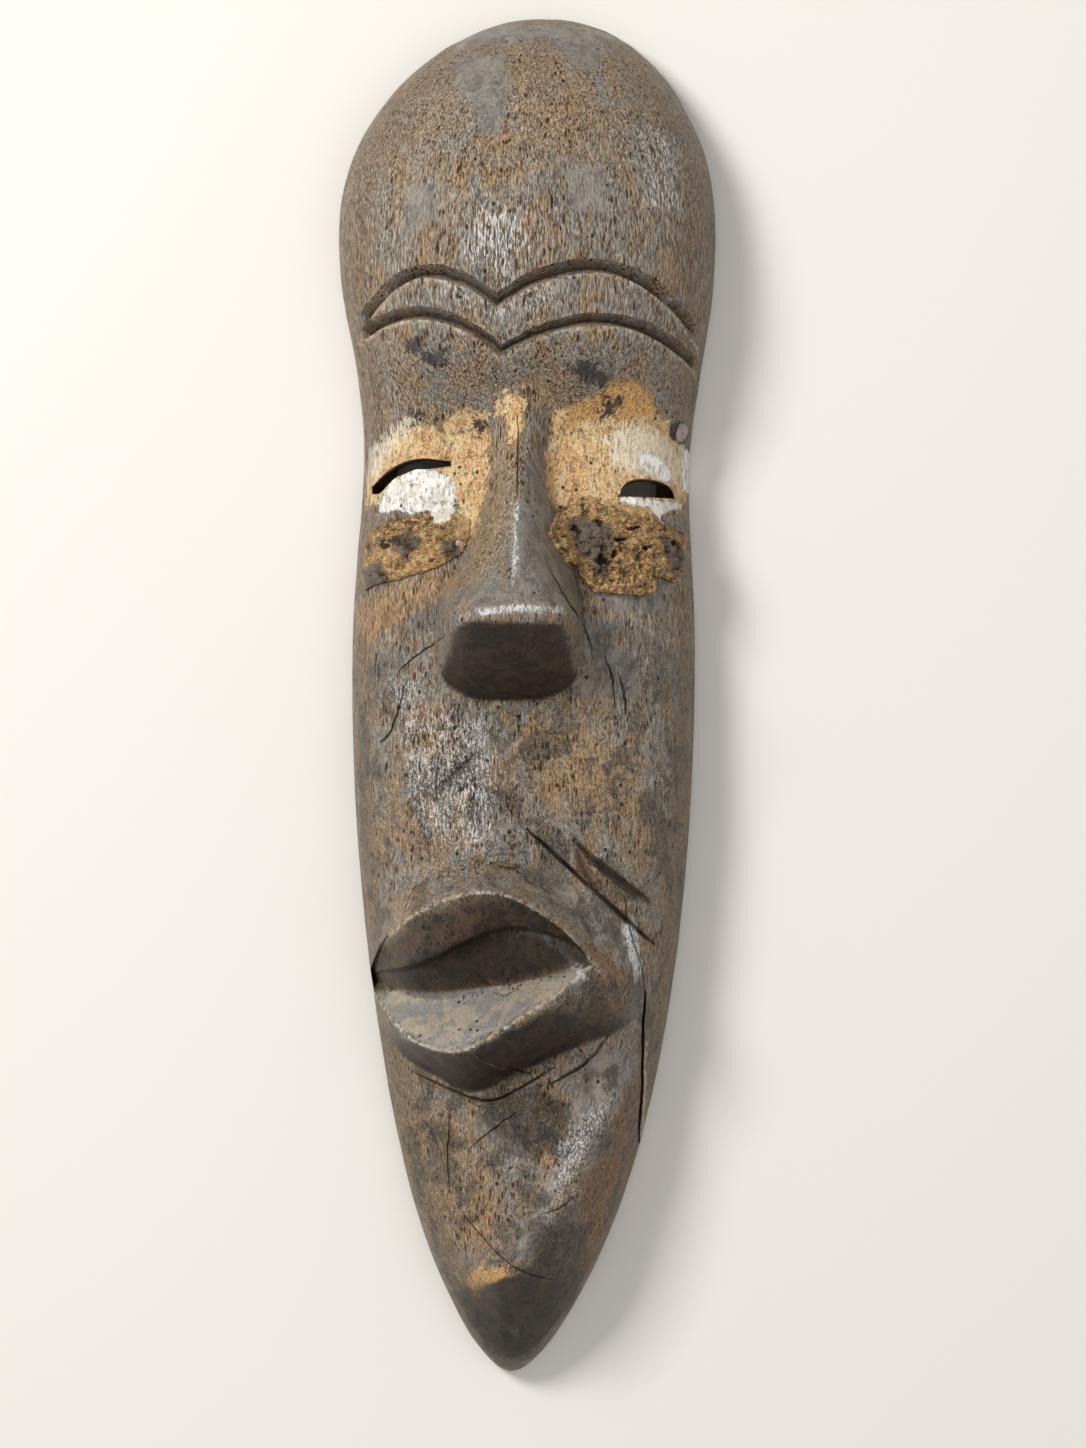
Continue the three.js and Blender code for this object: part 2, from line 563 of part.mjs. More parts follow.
// The slits go straight through the wall. The left one is a bent band, and the right one a half moon.
const LEFT_SLIT = [
  [-0.792, 0.298], [-0.726, 0.314], [-0.661, 0.326], [-0.59, 0.332], [-0.502, 0.334], [-0.393, 0.333],
];
const LEFT_SLIT_END = 0.8; // how far its outer end stands out, as a share of half its width
const RIGHT_SLIT = { from: 0.476, to: 0.765, n: 0.2855, lean: 0.35 };
const SLIT_FROM = 0.15; // share of the depth at which the slits start, inside the hollow
const SLIT_TO = 1.1;
function slitSolid(shape) {
  const geometry = new THREE.ExtrudeGeometry(shape, {
    depth: (SLIT_TO - SLIT_FROM) * DEPTH,
    bevelEnabled: false,
    curveSegments: 5,
  });
  return solidOf(geometry.translate(0, 0, SLIT_FROM * DEPTH));
}
function leftSlitShape() {
  const middle = LEFT_SLIT.map(([m, n]) => new THREE.Vector2(m * HALF_WIDTH, n * HALF_LENGTH));
  const last = middle.length - 1;
  const side = (way) =>
    middle.map((p, i) => {
      const run = middle[min(i + 1, last)].clone().sub(middle[max(i - 1, 0)]).normalize();
      return new THREE.Vector2(p.x - run.y * way, p.y + run.x * way);
    });
  const half = LEFT_SLIT_WIDTH / 2;
  const shape = new THREE.Shape(side(-half));
  const start = middle[0];
  const run = middle[1].clone().sub(start).normalize();
  const top = side(half).reverse();
  top.forEach((p) => shape.lineTo(p.x, p.y));
  const out = half * LEFT_SLIT_END;
  shape.lineTo(start.x - run.x * out, start.y - run.y * out);
  return shape;
}
function rightSlitShape() {
  const from = RIGHT_SLIT.from * HALF_WIDTH;
  const to = RIGHT_SLIT.to * HALF_WIDTH;
  const y = RIGHT_SLIT.n * HALF_LENGTH;
  const top = y + RIGHT_SLIT_HEIGHT;
  const shape = new THREE.Shape();
  shape.moveTo(from, y);
  shape.lineTo(to, y);
  const turn = (to - from) * RIGHT_SLIT.lean;
  shape.bezierCurveTo(to, top - 1, to - turn, top + 0.5, from + turn, top);
  shape.quadraticCurveTo(from, top - 1, from, y);
  return shape;
}

// A blade's cut in the front along a line: a wedge that runs out at both ends.
const CHEEK_CUT = [[-0.006, -0.192], [0.3, -0.27], [0.658, -0.362]];
const CHEEK_GOUGE = [[0.23, -0.207], [0.4, -0.252], [0.629, -0.3]];
const JAW_SPLIT = [[0.607, -0.427], [0.6, -0.5], [0.595, -0.573], [0.581, -0.69]];
const CUT_STEPS = 12;
function bladeCut(line, { width, depth }) {
  const path = new THREE.CatmullRomCurve3(line.map(([m, n]) => new THREE.Vector3(m, n, 0)));
  const stations = [];
  for (let i = 0; i <= CUT_STEPS; i++) {
    const at = path.getPoint(i / CUT_STEPS);
    const run = path.getTangent(i / CUT_STEPS);
    const across = new THREE.Vector3(-run.y * HALF_LENGTH, run.x * HALF_WIDTH, 0).setLength(width / 2);
    const deep = depth * sqrt(sin((PI * (i + 0.4)) / (CUT_STEPS + 0.8)));
    const middle = onFront(at.x, at.y);
    const deepest = middle.clone().setZ(middle.z - deep);
    stations.push([deepest, middle.clone().add(across), middle.clone().sub(across)]);
  }
  return wedgeAlong(stations, CUTTER_HEIGHT);
}

// A nail: a low domed head, a little oval from the hammer, and its shank. `spare` is added all round.
const HEAD_SEAT = 1.5; // a head's underside lies this far under the curved wood, which is cut out of it
const SHANK_ABOVE = 1; // how far a shank runs up into its head
function nailSolid(place, nail, spare) {
  const dome = [[1, 0.3], [0.74, 0.82], [0, 1]].map(([r, h]) => [r, h * nail.proud]);
  const profile = [[0, -HEAD_SEAT], [0.96, -HEAD_SEAT], ...dome];
  const grown = profile.map(([r, h]) => new THREE.Vector2(r, h + (h > 0 ? spare : 0)));
  const head = new THREE.LatheGeometry(grown, 12).rotateX(PI / 2);
  head.scale(nail.width / 2 + spare, nail.length / 2 + spare, 1);
  head.rotateZ((nail.turn * PI) / 180);
  return solidOf(head.applyMatrix4(seatedAt(place)));
}
function shankSolid(place, spare) {
  const radius = SHANK.radius + spare;
  const length = SHANK.length + spare;
  const shank = new THREE.CylinderGeometry(radius, radius, length + SHANK_ABOVE, 8).rotateX(PI / 2);
  return solidOf(shank.translate(0, 0, (SHANK_ABOVE - length) / 2).applyMatrix4(seatedAt(place)));
}
// A nail's place on the front, and how far it was driven in from the front instead of square to the wood.
const RIGHT_NAIL_AT = { place: [0.792, 0.383], lean: 0.55 };
const LEFT_NAIL_AT = { place: [-0.35, 0.218], lean: 0 };
function seatedAt({ place: [m, n], lean }) {
  const ahead = new THREE.Vector3(0, 0, 1);
  const upright = new THREE.Quaternion().setFromUnitVectors(ahead, outwardAt(m, n).lerp(ahead, lean).normalize());
  return new THREE.Matrix4().compose(onFront(m, n), upright, new THREE.Vector3(1, 1, 1));
}

// A crust: rings round a centre, out to a ragged edge, thick in the middle and broken off steeply at the
// edge. Heights of its lumps are shares of its thickness.
const CRUST_EDGE_SHARE = 0.5; // thickness at the broken edge
const CRUST_BED = 4; // its raw underside starts this deep, and the wood is cut out of it
const RIGHT_CRUST = {
  centre: [0.45, 0.215],
  edge: [
    [0.094, 0.23], [0.144, 0.208], [0.198, 0.185], [0.261, 0.172], [0.287, 0.159], [0.339, 0.142],
    [0.476, 0.141], [0.596, 0.14], [0.658, 0.15], [0.636, 0.169], [0.692, 0.166], [0.75, 0.16],
    [0.795, 0.172], [0.807, 0.214], [0.802, 0.236], [0.692, 0.249], [0.629, 0.268], [0.465, 0.277],
    [0.265, 0.289], [0.124, 0.262],
  ],
  lumps: [
    { at: [0.32, 0.232], reach: [0.11, 0.032], height: 0.473 },
    { at: [0.52, 0.245], reach: [0.13, 0.02], height: 0.291 },
    { at: [0.6, 0.2], reach: [0.13, 0.025], height: 0.218 },
    { at: [0.3, 0.18], reach: [0.09, 0.02], height: -0.273 },
  ],
  thick: RIGHT_CRUST_THICK,
  evenness: () => 1,
};
const LEFT_CRUST = {
  centre: [-0.58, 0.212],
  edge: [
    [-0.845, 0.15], [-0.8, 0.157], [-0.75, 0.16], [-0.657, 0.165], [-0.537, 0.174], [-0.425, 0.187],
    [-0.315, 0.205], [-0.283, 0.228], [-0.29, 0.255], [-0.38, 0.268], [-0.55, 0.262], [-0.74, 0.252],
    [-0.83, 0.235], [-0.848, 0.195],
  ],
  lumps: [
    { at: [-0.66, 0.195], reach: [0.1, 0.02], height: 0.227 },
    { at: [-0.45, 0.21], reach: [0.1, 0.02], height: 0.182 },
  ],
  thick: LEFT_CRUST_THICK,
  evenness: (n) => 1 - 0.4 * ease(0.2, 0.27, n), // it thins out towards the slit
};
function crustSolid({ centre, edge, lumps, thick, evenness }) {
  const outline = new THREE.CatmullRomCurve3(edge.map(([m, n]) => new THREE.Vector3(m, n, 0)), true);
  const positions = [];
  const faces = [];
  const { rings, around } = CRUST;
  const ringPoint = (k, i) => {
    const out = outline.getPointAt(i / around);
    return [centre[0] + ((out.x - centre[0]) * k) / rings, centre[1] + ((out.y - centre[1]) * k) / rings];
  };
  const add = ([m, n], lift) => positions.push(...onFront(m, n).addScaledVector(outwardAt(m, n), lift));
  const thickness = ([m, n], k) => {
    const rough = lumps.reduce((sum, lump) => sum + lump.height * bump(m, n, lump), 0);
    const share = CRUST_EDGE_SHARE + (1 - CRUST_EDGE_SHARE) * sqrt(1 - (k / rings) ** 2);
    return thick * (evenness(n) + rough) * share;
  };
  // The top and then the underside: a middle point and its rings.
  for (const top of [true, false]) {
    add(centre, top ? thickness(centre, 0) : -CRUST_BED);
    for (let k = 1; k <= rings; k++)
      for (let i = 0; i < around; i++) {
        const place = ringPoint(k, i);
        add(place, top ? thickness(place, k) : -CRUST_BED);
      }
  }
  const under = 1 + rings * around;
  const index = (base, k, i) => base + 1 + (k - 1) * around + (i % around);
  const face = (base, p, q, r) => (base === 0 ? faces.push(p, q, r) : faces.push(p, r, q));
  for (const base of [0, under])
    for (let i = 0; i < around; i++) {
      face(base, base, index(base, 1, i), index(base, 1, i + 1));
      for (let k = 1; k < rings; k++) {
        face(base, index(base, k, i), index(base, k + 1, i), index(base, k + 1, i + 1));
        face(base, index(base, k, i), index(base, k + 1, i + 1), index(base, k, i + 1));
      }
    }
  for (let i = 0; i < around; i++) {
    const [p, q] = [index(0, rings, i), index(0, rings, i + 1)];
    const [r, t] = [index(under, rings, i), index(under, rings, i + 1)];
    faces.push(p, r, t, p, t, q);
  }
  return solid(positions, faces);
}

// The mask: the domed block, less its hollow, slits, blade cuts and nail holes.
const block = domedBody(frontPoint, FRONT.across, evenRows(FRONT.along)).add(noseSolid()).add(lipsSolid());
const cuts = [
  domedBody(hollowPoint, HOLLOW.across, evenRows(HOLLOW.along)),
  grooveSolid(UPPER_ARCH, UPPER_GROOVE),
  grooveSolid(LOWER_ARCH, LOWER_GROOVE),
  mouthSolid(),
  slitSolid(leftSlitShape()),
  slitSolid(rightSlitShape()),
  bladeCut(CHEEK_CUT, SCORE),
  bladeCut(CHEEK_GOUGE, GOUGE),
  bladeCut(JAW_SPLIT, SPLIT),
];
const carved = cuts.reduce((left, cut) => left.subtract(cut), block);
const nailHoles = [RIGHT_NAIL_AT, LEFT_NAIL_AT].map((place) => shankSolid(place, BED_GAP));
const mask = carved.subtract(nailHoles[0]).subtract(nailHoles[1]);

// What lies on the wood is cut to it, with a gap: the wood is raised, and moved out a little on that side.
const OUTWARD = 0.35; // share of the gap by which the wood is moved out
const bedOf = (side) => solidOf(geometryOf(carved).translate(side * OUTWARD * BED_GAP, 0, BED_GAP));
const [leftBed, rightBed] = [bedOf(-1), bedOf(1)];

const nailOn = (place, nail, bed) => nailSolid(place, nail, 0).subtract(bed).add(shankSolid(place, 0));
const rightNail = nailOn(RIGHT_NAIL_AT, RIGHT_NAIL, rightBed);
const leftNail = nailOn(LEFT_NAIL_AT, LEFT_NAIL, leftBed);
const rightCrust = crustSolid(RIGHT_CRUST).subtract(rightBed);
const leftCrust = crustSolid(LEFT_CRUST)
  .subtract(leftBed)
  .subtract(nailSolid(LEFT_NAIL_AT, LEFT_NAIL, BED_GAP))
  .subtract(shankSolid(LEFT_NAIL_AT, BED_GAP));

const wood = new THREE.MeshStandardMaterial({ color: "#6a5d51", roughness: 0.55, metalness: 0 });
const clay = new THREE.MeshStandardMaterial({ color: "#8a6a40", roughness: 0.95, metalness: 0 });
const iron = new THREE.MeshStandardMaterial({ color: "#5b5450", roughness: 0.45, metalness: 1 });

const group = new THREE.Group();
function piece(name, body, material) {
  const mesh = new THREE.Mesh(geometryOf(body), material);
  mesh.name = name;
  group.add(mesh);
}
piece("mask_body", mask, wood);
piece("crust_right", rightCrust, clay);
piece("crust_left", leftCrust, clay);
piece("nail_right", rightNail, iron);
piece("nail_left", leftNail, iron);
export default group;
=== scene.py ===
import bpy
import numpy as np
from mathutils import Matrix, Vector


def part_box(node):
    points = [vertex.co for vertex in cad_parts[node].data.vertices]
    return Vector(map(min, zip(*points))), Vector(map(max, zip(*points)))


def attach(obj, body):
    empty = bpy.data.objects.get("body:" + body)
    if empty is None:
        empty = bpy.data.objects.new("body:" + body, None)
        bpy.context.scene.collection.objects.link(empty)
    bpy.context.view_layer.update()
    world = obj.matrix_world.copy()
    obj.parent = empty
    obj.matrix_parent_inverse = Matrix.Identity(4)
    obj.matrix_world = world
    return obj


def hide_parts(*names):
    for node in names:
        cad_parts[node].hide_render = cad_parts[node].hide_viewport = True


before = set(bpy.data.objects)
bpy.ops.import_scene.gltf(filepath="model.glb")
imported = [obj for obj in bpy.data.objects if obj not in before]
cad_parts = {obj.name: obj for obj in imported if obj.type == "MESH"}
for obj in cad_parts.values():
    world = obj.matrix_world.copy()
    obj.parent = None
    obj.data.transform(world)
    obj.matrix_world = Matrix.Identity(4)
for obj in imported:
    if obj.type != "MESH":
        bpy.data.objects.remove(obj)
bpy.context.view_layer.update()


# The carved block
# The mask is carved from one block of hardwood with adze and knife: a domed forehead over a narrow
# face, a wedge nose, a mound for the mouth and a keeled chin. Its grain runs from crown to chin.
# The free form is in shares of its own size: m of the half width, n of the half length, and heights
# of the depth.
BODY_LOW, BODY_HIGH = (np.array(corner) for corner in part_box("mask_body"))
HALF_LENGTH = (BODY_HIGH[1] - BODY_LOW[1]) / 2
HALF_WIDTH = 0.28 * HALF_LENGTH
DEPTH = 0.95238 * HALF_WIDTH  # from the rim to the front of the brow
RIM_WIDTH = 0.013
WALL = 0.017
MM = 0.001

FULLNESS = [
    (-1, 0.57), (-0.93, 0.7), (-0.75, 0.823), (-0.35, 0.883), (0.067, 0.908), (0.333, 0.911),
    (0.467, 1.02), (0.613, 1.245), (0.723, 1.43), (0.8, 1.54), (0.943, 1.68), (1.02, 1.75),
]
MIDDLE = [
    (-1, -0.087), (-0.75, -0.052), (-0.493, -0.03), (0.067, -0.021), (0.28, -0.012),
    (0.467, 0.007), (0.687, -0.002), (0.833, 0.017), (0.943, 0.06), (1.02, 0.1),
]
SPINE = [
    (-1, 1.05), (-0.9, 1.13), (-0.83, 1.15), (-0.667, 0.94), (-0.5, 0.825), (-0.3, 0.775),
    (-0.067, 0.75), (0.133, 0.713), (0.267, 0.681), (0.367, 0.713), (0.427, 0.813), (0.48, 0.975),
    (0.517, 1.063), (0.567, 1.125), (0.617, 1.188), (0.7, 1.275), (0.8, 1.363), (1.02, 1.49),
]
SQUARENESS = [
    (-1, 2.3), (-0.767, 2.6), (-0.5, 3.2), (-0.2, 3.9), (0.133, 3.9), (0.367, 3.4), (0.533, 2.6),
    (1.02, 2.3),
]
ROUNDNESS = 2.2
RIM_FADE = 14


def ease(a, b, x):
    """0 before a and 1 after b, with a smooth rise between them."""
    t = np.clip((x - a) / (b - a), 0, 1)
    return t * t * (3 - 2 * t)


def curve(stations, place):
    """A cubic through (place, value) stations, whose slope at each is that between its neighbours."""
    places, values = np.array(stations, float).T
    slopes = np.empty_like(values)
    slopes[1:-1] = (values[2:] - values[:-2]) / (places[2:] - places[:-2])
    slopes[0] = (values[1] - values[0]) / (places[1] - places[0])
    slopes[-1] = (values[-1] - values[-2]) / (places[-1] - places[-2])
    p = np.clip(place, places[0], places[-1])
    i = np.clip(np.searchsorted(places, p, side="left") - 1, 0, len(places) - 2)
    h = places[i + 1] - places[i]
    t = (p - places[i]) / h
    return (
        (2 * t**3 - 3 * t**2 + 1) * values[i]
        + (t**3 - 2 * t**2 + t) * h * slopes[i]
        + (3 * t**2 - 2 * t**3) * values[i + 1]
        + (t**3 - t**2) * h * slopes[i + 1]
    )


def bump(m, n, at, reach, turn=0.0):
    """A bell of height 1 at a place, with its own reach along and across, turned by degrees."""
    c, s = np.cos(np.radians(turn)), np.sin(np.radians(turn))
    dx, dy = (m - at[0]) * HALF_WIDTH, (n - at[1]) * HALF_LENGTH
    along = (dx * c + dy * s) / (reach[0] * HALF_WIDTH)
    across = (dy * c - dx * s) / (reach[1] * HALF_LENGTH)
    return np.exp(-(along**2) - across**2)


def middle_at(n):
    return curve(MIDDLE, n)


def half_at(n):
    """Half the width at n: fullness times the half chord of a circle."""
    return curve(FULLNESS, n) * np.sqrt(np.clip(1 - n * n, 0, None))


def dome_at(m, n):
    """How far m, n is to the rim, and the dome there: the spine's height times a superellipse."""
    a = np.clip((m - middle_at(n)) / np.maximum(half_at(n), 1e-6), -1, 1)
    r = np.sqrt(np.clip(n * n + a * a * (1 - n * n), 0, 1))
    shape = (1 - r ** curve(SQUARENESS, n)) ** (1 / ROUNDNESS)
    return r, DEPTH * curve(SPINE, n) * shape


# The nose: a ridge that rises and widens from its root to a blunt tip, and is cut off slanting back.
NOSE = {"root": 0.443, "tip": 0.113, "base": -0.006}
NOSE_HEIGHT = [(0, 0), (0.08, 0.056), (0.3, 0.175), (0.6, 0.362), (0.85, 0.537), (1, 0.625), (1.6, 0.775)]
NOSE_MIDDLE = [(0, -0.04), (0.5, -0.04), (0.8, -0.065), (1, -0.09), (1.4, -0.09)]
NOSE_HALF = [
    (0, 0.143), (0.25, 0.155), (0.45, 0.185), (0.65, 0.25), (0.85, 0.325), (1, 0.371), (1.2, 0.371),
    (1.35, 0.35),
]
NOSE_SQUARE = [(0, 1.5), (0.5, 1.45), (0.8, 2), (0.95, 3), (1.05, 4), (1.4, 4.2)]
NOSE_POWER = [(0, 0.9), (0.6, 1.05), (0.85, 0.85), (1, 0.55), (1.4, 0.5)]
UNDERSIDE = {"height": 0.69, "curl": 0.037, "round": 0.02}


def nose_height(m, n):
    """The lower of the ridge and the slanting underside, rounded where they meet, times a section."""
    s = np.clip((NOSE["root"] - n) / (NOSE["root"] - NOSE["tip"]), 0, 1.6)
    side = np.minimum(np.abs(m - curve(NOSE_MIDDLE, s)) / curve(NOSE_HALF, s), 1)
    base = NOSE["base"] + UNDERSIDE["curl"] * side**4
    under = UNDERSIDE["height"] * np.maximum((n - base) / (NOSE["tip"] - base), 0) ** 0.85
    k = UNDERSIDE["round"]
    rounded = -k * np.log(np.exp(-curve(NOSE_HEIGHT, s) / k) + np.exp(-under / k))
    return np.maximum(rounded, 0) * (1 - side ** curve(NOSE_SQUARE, s)) ** curve(NOSE_POWER, s)


# The mound of the mouth, between the rims of the lips. Past the right corner they run on as a ridge.
CORNERS = (-0.833, 0.327)
UPPER_RIM = [
    (-0.833, -0.407), (-0.738, -0.353), (-0.595, -0.317), (-0.429, -0.292), (-0.286, -0.28),
    (-0.143, -0.281), (-0.024, -0.293), (0.095, -0.313), (0.202, -0.337), (0.286, -0.363),
    (0.327, -0.381), (0.405, -0.397), (0.5, -0.411), (0.643, -0.43),
]
LOWER_RIM = [
    (-0.833, -0.417), (-0.774, -0.443), (-0.69, -0.473), (-0.595, -0.493), (-0.476, -0.505),
    (-0.369, -0.507), (-0.262, -0.498), (-0.143, -0.477), (0.024, -0.447), (0.155, -0.423),
    (0.274, -0.397), (0.327, -0.385), (0.405, -0.397), (0.5, -0.411), (0.643, -0.43),
]
MOUND_CREST = [
    (-0.845, 0.06), (-0.738, 0.15), (-0.536, 0.25), (-0.238, 0.312), (0.119, 0.306), (0.333, 0.25),
    (0.476, 0.16), (0.643, 0.03),
]
MOUND_TOP = [
    (-0.845, -0.3), (-0.655, -0.233), (-0.357, -0.207), (-0.06, -0.22), (0.238, -0.26),
    (0.476, -0.3), (0.643, -0.36),
]
MOUND_FOOT = [
    (-0.845, -0.453), (-0.667, -0.517), (-0.476, -0.547), (-0.286, -0.57), (-0.048, -0.54),
    (0.262, -0.503), (0.476, -0.483), (0.643, -0.45),
]
MOUND_RISE = [(-0.845, 2), (-0.476, 2.3), (-0.179, 2.6), (0.238, 2.4), (0.643, 1.8)]


def mound_height(m, n):
    """A crest's height times the lower of a rise from the mound's head and a fall to its foot."""
    top, foot = curve(MOUND_TOP, m), curve(MOUND_FOOT, m)
    up = np.clip((top - n) / np.maximum(top - curve(UPPER_RIM, m), 0.01), 0, 1)
    down = np.clip((n - foot) / np.maximum(curve(LOWER_RIM, m) - foot, 0.01), 0, 1)
    within = (m > MOUND_TOP[0][0]) & (m < MOUND_TOP[-1][0])
    return within * curve(MOUND_CREST, m) * np.minimum(up ** curve(MOUND_RISE, m), 1 - (1 - down) ** 1.5)


# The chin: a keel from the right jaw down and in to a worn knob, with a slope on either side.
KEEL = [
    (0.548, -0.5), (0.445, -0.583), (0.327, -0.64), (0.206, -0.703), (0.086, -0.757),
    (-0.036, -0.81), (-0.155, -0.84), (-0.143, -0.917), (-0.095, -1),
]
CHIN = {"right": 0.15, "left": 0.062, "crest": 0.05, "knob": 0.062, "tip": 0.1}
KEEL_REACH = {"right": 20 * MM, "left": 26 * MM, "crest": 9 * MM}
KNOB = {"at": (-0.155, -0.837), "reach": (0.119, 0.03)}


def from_line(points, m, n):
    """Signed distance in metres to a line of points, positive on its right, and the share along it."""
    places = np.array(points) * (HALF_WIDTH, HALF_LENGTH)
    x, y = m * HALF_WIDTH, n * HALF_LENGTH
    best, share = np.full(np.shape(x), np.inf), np.zeros(np.shape(x))
    for i, ((ax, ay), (bx, by)) in enumerate(zip(places[:-1], places[1:])):
        dx, dy = bx - ax, by - ay
        t = np.clip(((x - ax) * dx + (y - ay) * dy) / (dx * dx + dy * dy), 0, 1)
        px, py = x - ax - t * dx, y - ay - t * dy
        signed = np.where(px * dy - py * dx < 0, -1, 1) * np.hypot(px, py)
        nearer = np.abs(signed) < np.abs(best)
        share = np.where(nearer, (i + t) / (len(places) - 1), share)
        best = np.where(nearer, signed, best)
    return best, share


def chin_height(m, n):
    """Slopes that fall away on each side of the keel, a crest on it, the knob, and a dip at the tip."""
    d, share = from_line(KEEL, m, n)
    right = -CHIN["right"] * (1 - np.exp(-np.maximum(d, 0) / KEEL_REACH["right"]))
    left = -CHIN["left"] * (1 - np.exp(-np.maximum(-d, 0) / KEEL_REACH["left"]))
    crest = CHIN["crest"] * np.exp(-((d / KEEL_REACH["crest"]) ** 2))
    crest = crest * ease(-0.5, -0.6, n) * (1 - ease(0.7, 0.85, share))
    on = ease(-0.467, -0.617, n)
    tip = CHIN["tip"] * ease(-0.847, -0.967, n) * np.exp(-(((m + 0.12) / 0.31) ** 2))
    return on * (right + left + crest) + (on > 0) * (CHIN["knob"] * bump(m, n, **KNOB) - tip)


LIDS = [
    (0.05, {"at": (-0.583, 0.283), "reach": (0.23, 0.037), "turn": 8}),
    (0.044, {"at": (0.619, 0.267), "reach": (0.19, 0.032), "turn": -4}),
    (-0.04, {"at": (-0.36, 0.38), "reach": (0.22, 0.06)}),
    (-0.044, {"at": (0.286, 0.373), "reach": (0.22, 0.06)}),
]
BLADE_WAVE = 0.011


def blade_waves(m, n):
    """Products of slow sines: the long shallow facets that the blade leaves."""
    return BLADE_WAVE * (
        np.sin(4.94 * m + 1.3) * np.sin(9.68 * n + 0.6)
        + 0.8 * np.sin(7.64 * m + 6.98 * n + 2.1) * np.cos(13 * n + 1.4 * m)
        + 0.55 * np.sin(11.5 * m - 11.1 * n) * np.sin(21.9 * n + 1)
    )


def front_z(m, n):
    """Height of the front: dome, chin, lids and blade waves, with the nose and the mound on them."""
    r, dome = dome_at(m, n)
    lids = sum(height * bump(m, n, **lid) for height, lid in LIDS)
    fade = 1 - r**RIM_FADE
    plain = np.maximum(dome + DEPTH * fade * (chin_height(m, n) + lids + blade_waves(m, n)), 0)
    return plain + DEPTH * (nose_height(m, n) + mound_height(m, n) * fade)


# The sawn flat at the crown, and the corner of the lips that stands proud at the left side.
CROWN_SLOPE = 0.09
LIP_CORNER = {"at": -0.4, "reach": 0.045, "proud": 0.024}


def to_disc(across, along):
    """A square grid drawn into a disc: each place times the root of 1 less half its other's square."""
    v, u = np.meshgrid(along, across)
    return u * np.sqrt(1 - v * v / 2), v * np.sqrt(1 - u * u / 2)


def disc_grid(across, along):
    """A square grid drawn out to the outline: square to disc, rim gathered by a sine, disc to outline."""
    xi, eta = to_disc(across, along)
    rho = np.hypot(xi, eta)
    spread = np.where(rho > 1e-9, np.sin(rho * np.pi / 2) / np.maximum(rho, 1e-9), np.pi / 2)
    n = eta * spread
    a = np.clip(xi * spread / np.sqrt(np.maximum(1 - n * n, 1e-12)), -1, 1)
    return middle_at(n) + half_at(n) * a, n, a


def grid_faces(columns, rows, ring=False):
    """Quads of a grid whose vertices run along each column. A ring's last row joins its first."""
    i, j = np.meshgrid(np.arange(columns - 1), np.arange(rows if ring else rows - 1), indexing="ij")
    k = (j + 1) % rows
    corners = [i * rows + j, (i + 1) * rows + j, (i + 1) * rows + k, i * rows + k]
    return np.stack(corners, -1).reshape(-1, 4)


def edge_of(columns, rows):
    """The grid's outer vertices, in order round it."""
    index = np.arange(columns * rows).reshape(columns, rows)
    return np.concatenate([index[0, :-1], index[:-1, -1], index[-1, :0:-1], index[:0:-1, 0]])


def new_object(name, vertices, faces):
    """An object with its place in its mesh, from an array of points and lists of faces."""
    mesh = bpy.data.meshes.new(name)
    mesh.from_pydata(np.asarray(vertices).reshape(-1, 3).tolist(), [], faces)
    mesh.update()
    piece = bpy.data.objects.new(name, mesh)
    bpy.context.scene.collection.objects.link(piece)
    return piece


def domed_block(name, points):
    """A closed block: a grid of points on top and a flat fan under its edge."""
    columns, rows = points.shape[:2]
    edge = edge_of(columns, rows)
    centre = [0, 0, points[0, 0, 2]]
    vertices = np.concatenate([points.reshape(-1, 3), [centre]])
    fan = np.stack([np.full(len(edge), columns * rows), edge, np.roll(edge, -1)], -1)
    return new_object(name, vertices, grid_faces(columns, rows).tolist() + fan.tolist())


def gathered(count, places):
    """Steps from -1 to 1 that lie closer near given places: the inverse of a summed density."""
    v = np.linspace(-1, 1, 4001)
    density = 1 + sum(weight * np.exp(-(((v - at) / reach) ** 2)) for at, reach, weight in places)
    total = np.concatenate([[0], np.cumsum((density[1:] + density[:-1]) / 2)])
    return np.interp(np.linspace(0, total[-1], count), total, v)


LATTICE_KEYS = (73856093, 19349663, 83492791)


def lattice_noise(seed, x, y=0.0, z=0.0):
    """Smooth noise from -1 to 1: random values on a unit lattice, blended by eased cubics."""
    table = np.random.default_rng(seed).uniform(-1, 1, 4096)
    cell = [np.floor(w).astype(np.int64) for w in (x, y, z)]
    part = [w - c for w, c in zip((x, y, z), cell)]
    part = [t * t * (3 - 2 * t) for t in part]
    total = 0
    for corner in range(8):
        bits = [(corner >> k) & 1 for k in range(3)]
        hashed = [(c + bit) * key for c, bit, key in zip(cell, bits, LATTICE_KEYS)]
        weight = 1
        for t, bit in zip(part, bits):
            weight = weight * (t if bit else 1 - t)
        total = total + weight * table[(hashed[0] ^ hashed[1] ^ hashed[2]) % 4096]
    return total


def wood_relief(p):
    """Small dents and adze marks in metres: long shallow waves with the grain, and finer knocks."""
    x, y, z = (p[..., k] / MM for k in range(3))
    adze = lattice_noise(11, x / 9, y / 22, z / 9) + 0.5 * lattice_noise(12, x / 5, y / 11, z / 5)
    knocks = np.minimum(lattice_noise(13, x / 3.5, y / 5, z / 3.5) + 0.45, 0)
    return (0.26 * adze + 0.5 * knocks) * MM


